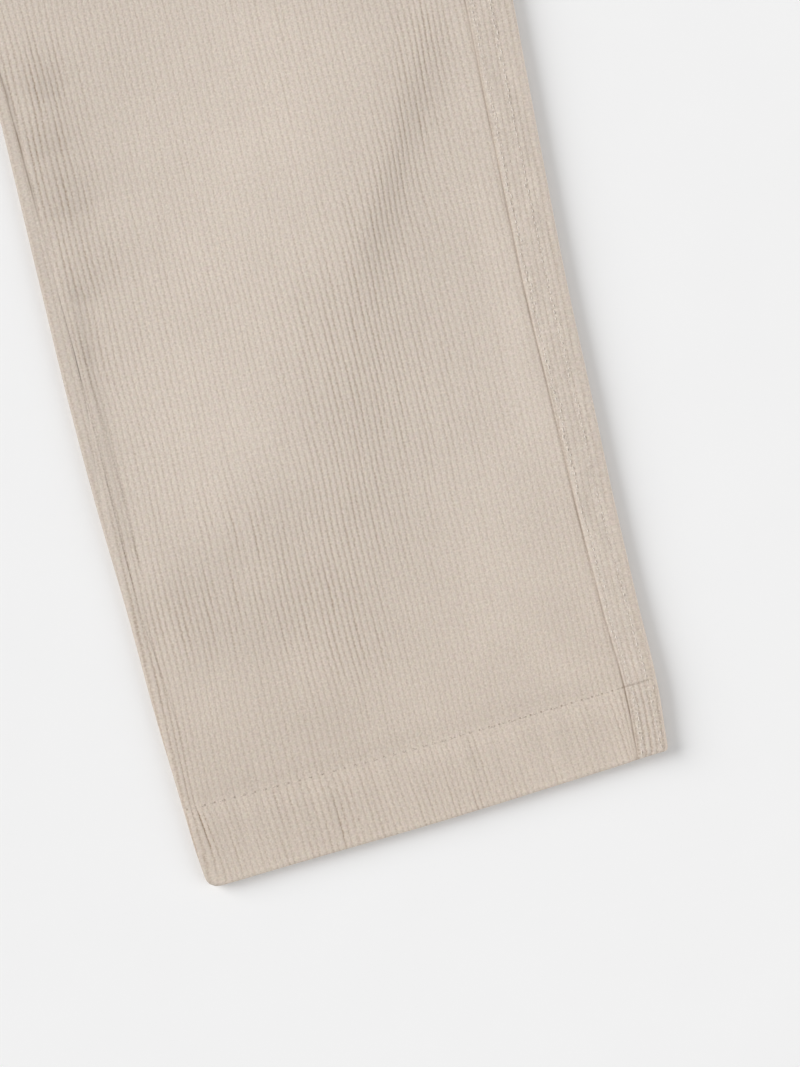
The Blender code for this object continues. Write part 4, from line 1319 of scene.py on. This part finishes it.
def fly_stitches():
    """The curved row that holds the fly's facing, the row by its edge, and two below, by the seam."""
    straight = FLY_HIGH - FLY_LOW - FLY_BEND

    def j_shape(run):
        turn = np.clip((run - straight) / FLY_BEND, 0.0, math.pi / 2 * 1.12)
        y = np.where(run < straight, FLY_HIGH - run, FLY_LOW + FLY_BEND - FLY_BEND * np.sin(turn))
        return on_front("left", FLY_WIDTH - FLY_BEND + FLY_BEND * np.cos(turn), y)

    def edge(run):
        return on_front("left", np.full(run.shape, 3.2 * MM - FLY_EDGE), FLY_HIGH - run)

    rows = [row_on(j_shape, steps_along(0.0, straight + 1.66 * FLY_BEND, FINE_PITCH, 31), FINE_STITCH),
            row_on(edge, steps_along(0.0, 0.118, FINE_PITCH, 33), FINE_STITCH)]
    start = FLY_LOW - 4.0 * MM
    for number, (inset, lowest) in enumerate(CENTRE_ROWS):
        def centre(run, inset=inset):
            return on_front("left", np.full(run.shape, inset), start - run)

        places = steps_along(0.0, start - HEM_Y - lowest, FINE_PITCH, 35 + number)
        rows.append(row_on(centre, places, FINE_STITCH))
    return stitch_mesh("fly_stitches", rows)


def band_stitches():
    """A row near each edge of the waistband's outer face."""
    path = band_path()
    along = run_along(path[0], path[2])
    rows = []
    for number, outer in enumerate(BAND_ROWS):
        places = steps_along(along[0] + 2.0 * MM, along[-1] - 2.0 * MM, FINE_PITCH, 41 + number)
        section = (*np.array((outer, BAND_CLOTH / 2, 0.0, 1.0, outer))[:, None], 2.0 * BAND_HEIGHT)

        def on_band(run, section=section):
            shifted = [np.interp(run, along, part) for part in path]
            return band_place(shifted, section)[0][0]

        middle, direction, _, length = row_on(on_band, places, FINE_STITCH)
        facing = [np.interp(places, along, part) for part in (path[3], 0.0 * along, path[4])]
        rows.append((middle, direction, np.stack(facing, axis=-1), length))
    return stitch_mesh("waistband_stitches", rows)


threads += [fly_stitches(), band_stitches()]
print("thread triangles:", sum(triangles(thread) for thread in threads))

# %% [markdown]
# ## The button and its buttonhole
#
# A tailor buys the button ready made: cast polyester, turned to a shallow dish with a raised
# rim and four holes. A lathe profile spun round its axis gives the body. The holes are cut
# with a boolean, as a drill would, and thread crosses them.

# %% Turn the button
BUTTON_X = 10.0 * MM
BUTTON_Y = HEM_Y + WAIST_FRONT + 20.0 * MM
BUTTON_BASE = 9.4 * MM
BUTTON_PROFILE = np.array((       # radius and height, from the face's middle to the underside
    (0.3, 2.30), (2.0, 2.28), (4.4, 2.34), (5.0, 2.52), (5.6, 2.92), (6.2, 3.14), (6.9, 3.20),
    (7.6, 3.12), (8.15, 2.84), (8.45, 2.40), (8.5, 1.90), (8.4, 1.35), (7.9, 0.75), (7.0, 0.30),
    (5.6, 0.06), (0.3, 0.0),
)) * MM
HOLE_PLACE = 1.9 * MM            # each hole's middle lies this far along X and Y
DRILL_PROFILE = np.array(((0.9, 4.0), (0.9, -1.0))) * MM


def spun(name, profile, sides, place):
    """A body of revolution about a vertical axis, closed at both ends."""
    angle = np.arange(sides) * math.tau / sides
    radius, height = profile[:, :1], profile[:, 1:]
    points = np.stack((radius * np.cos(angle), radius * np.sin(angle), height + 0.0 * angle), axis=-1)
    faces = ring_faces(len(profile), sides)[:, (0, 3, 2, 1)].tolist()
    faces.append(list(range(sides)))
    faces.append(list(range(len(profile) * sides - 1, (len(profile) - 1) * sides - 1, -1)))
    body = mesh_object(name, points.reshape(-1, 3), faces)
    body.location = place
    return body


def drilled_button():
    button = spun("button_body", BUTTON_PROFILE, 64, (BUTTON_X, BUTTON_Y, BUTTON_BASE))
    drills = []
    for turn in range(4):
        angle = math.pi / 4 + turn * math.pi / 2
        reach = HOLE_PLACE * math.sqrt(2.0)
        place = (BUTTON_X + reach * math.cos(angle), BUTTON_Y + reach * math.sin(angle), BUTTON_BASE)
        drills.append(spun("drill_%d" % turn, DRILL_PROFILE, 20, place))
        cut = button.modifiers.new("hole_%d" % turn, "BOOLEAN")
        cut.operation = "DIFFERENCE"
        cut.object = drills[-1]
    bpy.context.view_layer.update()
    solid = button.evaluated_get(bpy.context.evaluated_depsgraph_get())
    mesh = bpy.data.meshes.new_from_object(solid)
    button.modifiers.clear()
    button.data = mesh
    mesh.shade_smooth()
    mesh.set_sharp_from_angle(angle=math.radians(38.0))
    for drill in drills:
        bpy.data.objects.remove(drill, do_unlink=True)
    return button


button = drilled_button()
print("button triangles:", triangles(button))


# %% Thread across the button, and the buttonhole's bound edge
def tube(name, paths, radius, sides):
    """Round cords along lists of points, as one mesh."""
    angle = np.arange(sides)[:, None] * math.tau / sides
    points, faces, count = [], [], 0
    for path in paths:
        along = unit(np.gradient(path, axis=0))
        aside = np.cross(along, (0.0, 0.0, 1.0))
        upright = np.linalg.norm(aside, axis=1, keepdims=True) < 0.2
        aside = unit(np.where(upright, (0.0, 1.0, 0.0), aside))
        ring = aside[:, None] * np.cos(angle) + np.cross(aside, along)[:, None] * np.sin(angle)
        points.append((path[:, None] + radius * ring).reshape(-1, 3))
        faces.append(ring_faces(len(path), sides) + count)
        count += len(points[-1])
    return mesh_object(name, np.concatenate(points), np.concatenate(faces).tolist())


def button_thread():
    """Two bars of thread, each of three strands over two holes."""
    run = np.linspace(-1.0, 1.0, 15)
    drop = 2.6 * MM * np.clip(np.abs(run) - 0.82, 0.0, None) / 0.18
    height = BUTTON_BASE + 2.3 * MM + 0.35 * MM * (1.0 - run ** 2) + 0.15 * MM - drop
    x = BUTTON_X + HOLE_PLACE * np.clip(run / 0.86, -1.0, 1.0)
    paths = [np.stack(np.broadcast_arrays(x, BUTTON_Y + bar + strand, height), axis=-1)
             for bar in (-HOLE_PLACE, HOLE_PLACE) for strand in (-0.42 * MM, 0.0, 0.42 * MM)]
    return tube("button_thread", paths, 0.24 * MM, 8)


def buttonhole():
    """A zigzag of thread round a slit that runs in from the band's end, under the button."""
    start, end, half = 2.6 * MM, 22.5 * MM, 1.5 * MM
    turns = 150
    straight, arc = end - start, math.pi * half
    place = np.linspace(0.0, 1.0, turns) * 2.0 * (straight + arc)
    sections = [place < straight, place < straight + arc, place < 2.0 * straight + arc]
    out, back = (place - straight) / half, (place - 2.0 * straight - arc) / half
    x = np.select(sections, (start + place, end + half * np.sin(out), end - (place - straight - arc)),
                  start - half * np.sin(back))
    y = np.select(sections, (-half, -half * np.cos(out), half), half * np.cos(back))
    outward = np.arange(turns) % 2 == 0
    wide = 1.0 + 0.42 * np.where(outward, 1.0, -1.0)
    middle = np.clip(x, start, end)
    x = middle + (x - middle) * wide
    top = BAND_TOP + BAND_CLOTH + SEAM_GAP + BAND_CLOTH / 2
    height = top + 0.02 * MM + 0.12 * MM * ~outward
    path = np.stack((x, BUTTON_Y + y * wide, height), axis=-1)
    return tube("buttonhole_stitches", [path], 0.2 * MM, 6)


button_cord = button_thread()
threads.append(buttonhole())
print("button thread and buttonhole:", triangles(button_cord) + triangles(threads[-1]), "triangles")

# %% [markdown]
# ## Materials
#
# A finish is built from what the real one is. Corduroy has no gloss: its brushed cotton
# pile scatters light softly, glows a little at grazing angles, and looks darker between the
# ribs, where light goes in and doesn't come out. That shade is painted into the colour of the
# grooves, which are drawn from the place on the flat cloth, so they follow the grain over
# every fold.


# %% Colours and nodes
def linear(hex_colour):
    """An sRGB hex colour as a linear RGBA value."""
    parts = [int(hex_colour[k:k + 2], 16) / 255.0 for k in (1, 3, 5)]
    return [p / 12.92 if p <= 0.04045 else ((p + 0.055) / 1.055) ** 2.4 for p in parts] + [1.0]


def plug(node, inputs):
    """Fills a node's inputs, by name or in their order, with values, outputs or other nodes."""
    for name, value in inputs.items() if isinstance(inputs, dict) else enumerate(inputs):
        if isinstance(value, bpy.types.Node):
            value = next(output for output in value.outputs if output.enabled)
        if isinstance(value, bpy.types.NodeSocket):
            node.id_data.links.new(value, node.inputs[name])
        else:
            node.inputs[name].default_value = value


def add(tree, kind, inputs=(), **settings):
    """Adds a node with its settings and links; another node stands for its first output."""
    made = tree.nodes.new("ShaderNode" + kind)
    for name, value in settings.items():
        setattr(made, name, value)
    plug(made, inputs)
    return made


def finish(name, roughness, settings):
    """A material, the way to add nodes to it, and its shader with these values."""
    material = bpy.data.materials.new(name)
    material.use_nodes = True
    shader = material.node_tree.nodes["Principled BSDF"]
    plug(shader, {"Roughness": roughness, **settings})
    return material, partial(add, material.node_tree), shader


TIMES, TIMES_ADD = {"operation": "MULTIPLY"}, {"operation": "MULTIPLY_ADD"}
# A MapRange takes a value, from low, from high, to low and to high; with SOFT it eases in and out
SOFT = {"interpolation_type": "SMOOTHSTEP"}
print("cream in linear light:", [round(value, 3) for value in linear("#CCC0B4")])

# %% [markdown]
# Cut-pile cotton corduroy: roughness near 1, a wide soft sheen, and no clear highlight. To
# the eye it gives light rounded ribs, narrow brownish grooves broken by loose fibres, and
# faint clouds where the pile leans; the grooves' brownish shade is painted. The pile is about
# 0.15 mm thick and its tufts stand 0.4 mm apart, too fine to show, so they are drawn 0.75 mm
# apart. Each pattern below is a step of its own: painted light and shade from the mesh, tones
# of the pile, and painted shade in grooves, seams and needle holes.

# %% Values that travel with the cloth
PILE_TOP = "#D3C7BB"
PILE_LOW = "#D2C5B8"             # the cream is a shade warmer toward the hem
PILE_BAND = "#D0C3B7"
# painted shade in the grooves between the ribs
PILE_GROOVE_SHADE = "#9C8875"
PILE_SHADE = "#7E6B5A"
TUFT = 0.75 * MM                 # drawn coarser than real tufts, which are 0.4 mm apart
IN_MM = (1000.0, 1000.0, 0.0)    # noise scales on the cloth then count swells a millimetre


def cloth_places(node):
    """Reads the triples that travel with the cloth, and what several patterns share."""
    pile = SimpleNamespace()
    pile.cloth, sewing, cover = [node("Attribute", attribute_name=name).outputs["Vector"]
                                 for name in ("cloth", "sewing", "cover")]
    pile.grain, pile.up, pile.depth = node("SeparateXYZ", [pile.cloth]).outputs
    pile.along_row, across_row, pile.sewn_as = node("SeparateXYZ", [sewing]).outputs
    pile.plain, pile.shade, pile.nap = node("SeparateXYZ", [cover]).outputs
    pile.place = node("VectorMath", (pile.cloth, IN_MM), **TIMES)
    pile.from_row = node("Math", [across_row], operation="ABSOLUTE")
    pile.beside_rows = node("MapRange", (pile.sewn_as, 1.2, 1.9), **SOFT)
    pile.loose = node("TexNoise", {"Vector": pile.place, "Scale": 1.1, "Detail": 1.0})
    return pile


print("tufts are drawn %.2f mm apart" % (TUFT / MM))


# %% Ribs and tufts: painted shade in the grooves, and relief
def painted_groove_shade(node, pile):
    """Painted shade in the grooves between the ribs: loose fibres bend and break it, rows of tufts dot
    it.
    """
    pile.fibre = node("TexNoise", {"Vector": pile.place, "Scale": 0.9, "Detail": 3.0, "Roughness": 0.65})
    sway = node("TexNoise", {"Vector": pile.place, "Scale": 0.42, "Detail": 2.0})
    ribs = node("Math", (pile.grain, RIB), operation="DIVIDE")
    swayed = node("Math", (sway, 0.40, ribs), **TIMES_ADD)
    centred = node("Math", (swayed, -0.20))
    pile.in_rib = node("Math", (centred, 0.5), operation="PINGPONG")
    stray = node("Math", (pile.fibre, 0.30, -0.15), **TIMES_ADD)
    from_groove = node("Math", (pile.in_rib, stray))
    # painted shade: full in the middle of a groove, none on the rib
    groove = node("MapRange", (from_groove, -0.02, 0.34, 1.0, 0.0), **SOFT)
    tuft_rows = node("VectorMath", (pile.cloth, (3.0 / RIB, 1.0 / TUFT, 0.0)), **TIMES)
    pile.tufts = node("TexNoise", {"Vector": tuft_rows, "Scale": 1.0, "Detail": 1.0, "Roughness": 0.6})
    pile.dots = node("MapRange", (pile.tufts, 0.36, 0.64, 0.65, 1.35), **SOFT)
    dotted = node("Math", (groove, pile.dots), **TIMES)
    return node("Math", (dotted, pile.depth), **TIMES)


def pile_relief(node, pile):
    """The mesh has the ribs; the bump has the pile, and the ribs where the mesh is plain."""
    flat_rib = node("MapRange", (pile.in_rib, 0.0, 0.32, 0.0, RIB_DEPTH), **SOFT)
    plain = node("Math", (flat_rib, pile.plain), **TIMES)
    fine = node("Math", (pile.tufts, 0.10 * MM), **TIMES)
    coarse = node("Math", (pile.fibre, 0.07 * MM, fine), **TIMES_ADD)
    relief = node("Math", (coarse, plain))
    return node("Bump", {"Height": relief, "Strength": 1.0, "Distance": 1.0})


# %% Painted light and shade, and tones of the pile
def painted_light_and_pile_tone(node, pile):
    """The painted light and shade carried by the mesh, clouds where the pile leans, blotches of loose
    fibre, streaks and tufts.
    """
    streak_place = node("VectorMath", (pile.cloth, (1800.0, 600.0, 0.0)), **TIMES)
    clouds = node("TexNoise", {"Vector": pile.place, "Scale": 0.035, "Detail": 2.0, "Roughness": 0.5})
    blotches = node("TexNoise", {"Vector": pile.place, "Scale": 0.30, "Detail": 4.0, "Roughness": 0.75})
    streaks = node("TexNoise", {"Vector": streak_place, "Scale": 1.0, "Detail": 2.0})
    # painted light and shade, carried from the mesh
    tone = node("Math", (pile.nap, 1.0))
    for noise, swing in ((clouds, 0.02), (blotches, -0.02), (streaks, -0.06), (pile.tufts, -0.08)):
        part = node("MapRange", (noise, 0.30, 0.70, 1.0 - swing, 1.0 + swing))
        tone = node("Math", (tone, part), **TIMES)
    return tone


def sewn_painted_light_and_tone(node, pile):
    """Painted light and shade of crosswise puckers beside the rows of stitches, a little finer
    than the stitches, and the pale loose pile that the needle pulls up."""
    pucker_place = node("VectorMath", (pile.cloth, (200.0, 1.0 / (0.6 * OUTSEAM_PITCH), 0.0)), **TIMES)
    puckers = node("TexNoise", {"Vector": pucker_place, "Scale": 1.0, "Detail": 1.0})
    # painted light on the puckers' crests and shade between them
    pucker_light_and_shade = node("MapRange", (puckers, 0.32, 0.68, -0.045, 0.05))
    area = node("TexNoise", {"Vector": pile.place, "Scale": 0.045, "Detail": 0.0})
    worn = node("MapRange", (area, 0.42, 0.62), **SOFT)
    by_row = node("MapRange", (pile.from_row, 0.5 * MM, 2.0 * MM, 1.0, 0.0), **SOFT)
    pulled = node("MapRange", (pile.loose, 0.55, 0.66, 0.0, 0.13), **SOFT)
    pulled_here = node("Math", (pulled, by_row), **TIMES)
    pulled_worn = node("Math", (pulled_here, worn, pucker_light_and_shade), **TIMES_ADD)
    return node("Math", (pulled_worn, pile.beside_rows, 1.0), **TIMES_ADD)


# %% Cream fibres, with painted light and shade
def cream_with_painted_light(node, pile, low, top):
    """Undyed and dyed fibres mix, so the cream is a little pink here and yellow there. It is a shade
    warmer toward the hem, and the painted light and shade and the pile's tones scale it.
    """
    flecks = node("TexNoise", {"Vector": pile.place, "Scale": 0.6, "Detail": 2.0})
    fleck_shift = node("VectorMath", (flecks.outputs["Color"], (-0.5, -0.5, -0.5)))
    upward = node("MapRange", (pile.up, 0.02, 0.16), **SOFT)
    cooler = node("Math", (upward, pile.beside_rows), operation="MAXIMUM")
    cream = node("Mix", {"Factor": cooler, 6: linear(low), 7: linear(top)}, data_type="RGBA")
    tinted = node("VectorMath", (fleck_shift, (0.05, 0.05, 0.05), cream), **TIMES_ADD)
    tone = node("Math", (painted_light_and_pile_tone(node, pile), sewn_painted_light_and_tone(node, pile)), **TIMES)
    return node("VectorMath", {0: tinted, "Scale": tone}, operation="SCALE")


# %% Painted shade in the seams and in the needle holes
def seam_lines(node, pile):
    """Share of shade in seams, in sunk stitches and along the two pressed lines."""
    needled = node("MapRange", (pile.loose, 0.40, 0.50, 0.26, 0.0), **SOFT)
    in_row = node("MapRange", (pile.from_row, 0.10 * MM, 0.60 * MM, 1.0, 0.0), **SOFT)
    sunk_row = node("Math", (needled, in_row), **TIMES)
    share = node("Math", (sunk_row, pile.beside_rows), **TIMES)
    for line, half_width in (("allowance", 0.50 * MM), ("crease", 0.75 * MM)):
        pressed = node("Attribute", attribute_name=line).outputs["Vector"]
        across, strength, _ = node("SeparateXYZ", [pressed]).outputs
        distance = node("Math", [across], operation="ABSOLUTE")
        near = node("MapRange", (distance, 0.05 * MM, half_width, 1.0, 0.0), **SOFT)
        broken = node("Math", (near, pile.dots), **TIMES)
        share = node("Math", (broken, strength, share), **TIMES_ADD)
    return node("Math", (pile.shade, 0.62, share), use_clamp=True, **TIMES_ADD)


def needle_hole_shade(node, pile):
    """Painted shade: a dark dot where each hem stitch goes in, one for each pitch of the row."""
    along = node("Math", (pile.along_row, HEM_PITCH / 2), operation="PINGPONG")
    reach = node("CombineXYZ", (along, pile.from_row))
    distance = node("VectorMath", [reach], operation="LENGTH")
    hole = node("MapRange", (distance, 0.15 * MM, 0.60 * MM, 0.6, 0.0), **SOFT)
    is_hem = node("Math", (pile.sewn_as, 1.0, 0.3), operation="COMPARE")
    return node("Math", (hole, is_hem), **TIMES)


# %% Brushed cotton corduroy
def corduroy(name, low, top, groove_shade_share):
    """Cut-pile corduroy, brushed and washed: cream pile with painted light and shade, then painted shade
    in grooves, seams and needle holes.
    """
    material, node, shader = finish(name, 0.92, {
        "Sheen Weight": 0.35, "Sheen Roughness": 0.55, "Sheen Tint": linear("#FFF6EC"),
        "Specular IOR Level": 0.15, "IOR": 1.45})
    pile = cloth_places(node)
    # the share of painted shade in the grooves
    grooves = node("Math", (painted_groove_shade(node, pile), groove_shade_share), use_clamp=True, **TIMES)
    colour = cream_with_painted_light(node, pile, low, top)
    # painted shade: in the grooves, along seams and pressed lines, and in needle holes
    for share, darker in ((grooves, PILE_GROOVE_SHADE), (seam_lines(node, pile), PILE_SHADE),
                          (needle_hole_shade(node, pile), PILE_SHADE)):
        colour = node("Mix", {"Factor": share, 6: colour, 7: linear(darker)}, data_type="RGBA")
    plug(shader, {"Base Color": colour, "Normal": pile_relief(node, pile)})
    return material


body_cloth = corduroy("brushed_cotton_corduroy", PILE_LOW, PILE_TOP, 0.205)
band_cloth = corduroy("brushed_cotton_corduroy_band", PILE_BAND, PILE_BAND, 0.20)
print("cloth nodes:", len(body_cloth.node_tree.nodes))

# %% [markdown]
# Spun polyester sewing thread, a little lighter and smoother than the pile, with a twist of
# about two turns a millimetre, drawn at one turn so that it shows. The hem is sewn with a
# darker thread that matches the cloth, so its row is hardly seen.

# %% Spun polyester thread
def sewing_thread(name, twist_shade, twist_top):
    material, node, shader = finish(name, 0.62, {
        "Sheen Weight": 0.25, "Sheen Roughness": 0.4, "Specular IOR Level": 0.3, "IOR": 1.54})
    place = node("TexCoord").outputs["Object"]
    twist = node("TexWave", {"Vector": place, "Scale": 500.0, "Distortion": 1.2},
                 bands_direction="DIAGONAL").outputs["Fac"]
    colour = node("Mix", {"Factor": twist, 6: linear(twist_shade), 7: linear(twist_top)},
                  data_type="RGBA")
    relief = node("Bump", {"Height": twist, "Strength": 0.5, "Distance": 0.08 * MM})
    plug(shader, {"Base Color": colour, "Normal": relief})
    return material


seam_thread = sewing_thread("spun_polyester_thread", "#D6CCC1", "#EBE3DA")
hem_thread = sewing_thread("spun_polyester_thread_matched", "#BFB2A4", "#D9CEC2")
print("threads:", seam_thread.name, "and", hem_thread.name)

# %% [markdown]
# Cast polyester, turned and tumbled: the usual button that looks like horn. It has a satin
# face, an IOR of 1.56 and soft streaks of light and dark from swirled pigment, about 2 mm
# apart.

# %% Cast polyester button
def horn_polyester():
    material, node, shader = finish("cast_polyester_horn", 0.34, {
        "IOR": 1.56, "Subsurface Weight": 0.06, "Subsurface Scale": 0.002})
    place = node("TexCoord").outputs["Object"]
    swirl = node("TexNoise", {"Vector": place, "Scale": 260.0, "Detail": 4.0, "Distortion": 1.8})
    streak = node("TexWave", {"Vector": place, "Scale": 90.0, "Distortion": 5.0, "Detail": 3.0})
    both = node("Math", (swirl, streak.outputs["Fac"]), **TIMES)
    pigment = node("ValToRGB", [both])
    dark, pale = pigment.color_ramp.elements
    dark.color, pale.color = linear("#8F7B66"), linear("#D3C4B0")
    pale.position = 0.62
    wear = node("MapRange", {"Value": swirl, "To Min": 0.26, "To Max": 0.46})
    plug(shader, {"Base Color": pigment, "Roughness": wear})
    return material


button_finish = horn_polyester()
print("material:", button_finish.name)

# %% [markdown]
# Matt white paper, rolled out as a studio floor: a plain diffuse surface with the faint
# cloudiness of pressed fibres, so that it doesn't look like an empty background.

# %% Matt paper floor
FLOOR_SIZE = 40.0


def paper_floor():
    half = FLOOR_SIZE / 2
    corners = [(-half, -half, 0.0), (half, -half, 0.0), (half, half, 0.0), (-half, half, 0.0)]
    floor = mesh_object("paper_floor", corners, [(0, 1, 2, 3)])
    floor.location.z = -0.3 * MM
    material, node, shader = finish("matt_white_paper", 0.95, {"Specular IOR Level": 0.1, "IOR": 1.5})
    place = node("TexCoord").outputs["Object"]
    pulp = node("TexNoise", {"Vector": place, "Scale": 30.0, "Detail": 4.0})
    white = node("Mix", {"Factor": pulp, 6: linear("#F4F4F4"), 7: linear("#F6F6F6")}, data_type="RGBA")
    plug(shader, {"Base Color": white})
    floor.data.materials.append(material)
    return floor


floor = paper_floor()
print("floor:", FLOOR_SIZE, "metres square")

# %% [markdown]
# ## What each piece stands for
#
# Every sheet takes its solid's place, keeps its material slot and rides on the one body.
# The table lists each sheet with the size that its cloth was cut to: the panel's own length
# and greatest width with the hem's turn-up, and its area.

PANELS = (                       # sheet, solid, flat width and length, flat area
    (front_left, "front_left", (0.290, 1.040), 0.228),
    (front_right, "front_right", (0.290, 1.040), 0.228),
    (back_left, "back_left", (0.345, 1.078), 0.266),
    (back_right, "back_right", (0.345, 1.078), 0.266),
)
for sheet, solid, flat, area in PANELS:
    sheet.data.materials.append(body_cloth)
    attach(sheet, "root")
    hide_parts(solid)
for thread in threads + [button_cord]:
    thread.data.materials.append(hem_thread if thread.name.startswith("hem") else seam_thread)
    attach(thread, "root")
waistband.data.materials.append(band_cloth)
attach(waistband, "root")
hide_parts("waistband")
button.data.materials.append(button_finish)
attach(button, "root")
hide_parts("waist_button")
print("pieces:", len(PANELS) + len(threads) + 3)

# %% [markdown]
# ## Light and camera
#
# Product light for cloth is soft and comes mostly from one side, so that ribs and creases
# throw gentle shade. A wide, far panel shines low from the left and a weaker one from the
# right, so that a soft shadow lies along both edges. Area lamps would fall off over the
# garment's length; sun lamps of a wide angle stay even. A white sky fills the rest. The
# camera looks straight down, turned so that the leg leans as it was laid.

# %% Light
CAMERA_TURN = math.radians(9.4)
IMAGE_UP = np.array((math.sin(CAMERA_TURN), math.cos(CAMERA_TURN), 0.0))
IMAGE_RIGHT = np.array((math.cos(CAMERA_TURN), -math.sin(CAMERA_TURN), 0.0))
LEG_UP = np.array((-math.sin(LEG_LEAN), math.cos(LEG_LEAN), 0.0))
LEG_OUT = np.array((math.cos(LEG_LEAN), math.sin(LEG_LEAN), 0.0))
AIM_UP, AIM_OUT, AIM_HEIGHT = 108.6 * MM, 11.1 * MM, 5.0 * MM      # the picture's middle
TARGET = np.array((HEM_X, HEM_Y, AIM_HEIGHT)) + AIM_UP * LEG_UP + AIM_OUT * LEG_OUT
ASIDE = 0.97 * IMAGE_RIGHT - 0.24 * IMAGE_UP    # to the right and a little down the picture
PANELS_OF_LIGHT = (              # name, side, degrees above the table, degrees wide, power
    ("key_panel", -1.0, 28.5, 44.0, 2.765),
    ("fill_panel", 1.0, 36.0, 56.0, 1.016),
)
PANEL_DISTANCE = 2.0
SKY = 0.354


def light_panel(name, side, height, spread, power):
    height = math.radians(height)
    direction = side * ASIDE * math.cos(height) + np.array((0.0, 0.0, math.sin(height)))
    data = bpy.data.lights.new(name, "SUN")
    data.angle = math.radians(spread)
    data.energy = power
    light = bpy.data.objects.new(name, data)
    light.location = TARGET + PANEL_DISTANCE * direction
    light.rotation_mode = "QUATERNION"
    light.rotation_quaternion = Vector(-direction).to_track_quat("-Z", "Y")
    bpy.context.collection.objects.link(light)


def white_sky():
    world = bpy.data.worlds.new("white_sky")
    world.use_nodes = True
    plug(world.node_tree.nodes["Background"], {"Color": (1.0, 1.0, 1.0, 1.0), "Strength": SKY})
    bpy.context.scene.world = world


for panel in PANELS_OF_LIGHT:
    light_panel(*panel)
white_sky()
bpy.context.scene.view_settings.view_transform = "Standard"
print("light panels:", [panel[0] for panel in PANELS_OF_LIGHT])


# %% Camera
SENSOR = 36.0                    # millimetres
CAMERA_DISTANCE = 2.0
VIEW_HEIGHT = 0.4073             # what the long side of the picture spans at the cloth


def camera():
    data = bpy.data.cameras.new("camera")
    data.sensor_width = SENSOR
    data.lens = SENSOR * CAMERA_DISTANCE / VIEW_HEIGHT
    data.clip_start, data.clip_end = 0.05, 50.0
    thing = bpy.data.objects.new("camera", data)
    thing.location = TARGET + np.array((0.0, 0.0, CAMERA_DISTANCE))
    thing.rotation_euler = (0.0, 0.0, -CAMERA_TURN)
    bpy.context.collection.objects.link(thing)
    bpy.context.scene.camera = thing
    return thing


print("lens: %.1f mm" % camera().data.lens)

# %% [markdown]
# ## Shown triangles
#
# The dressed garment has to stay the size of its solids. The last cell counts the triangles
# that are shown.

# %% Count the shown triangles
bpy.context.view_layer.update()
shown = [thing for thing in bpy.data.objects if thing.type == "MESH" and not thing.hide_render]
print("shown triangles:", sum(triangles(thing) for thing in shown))
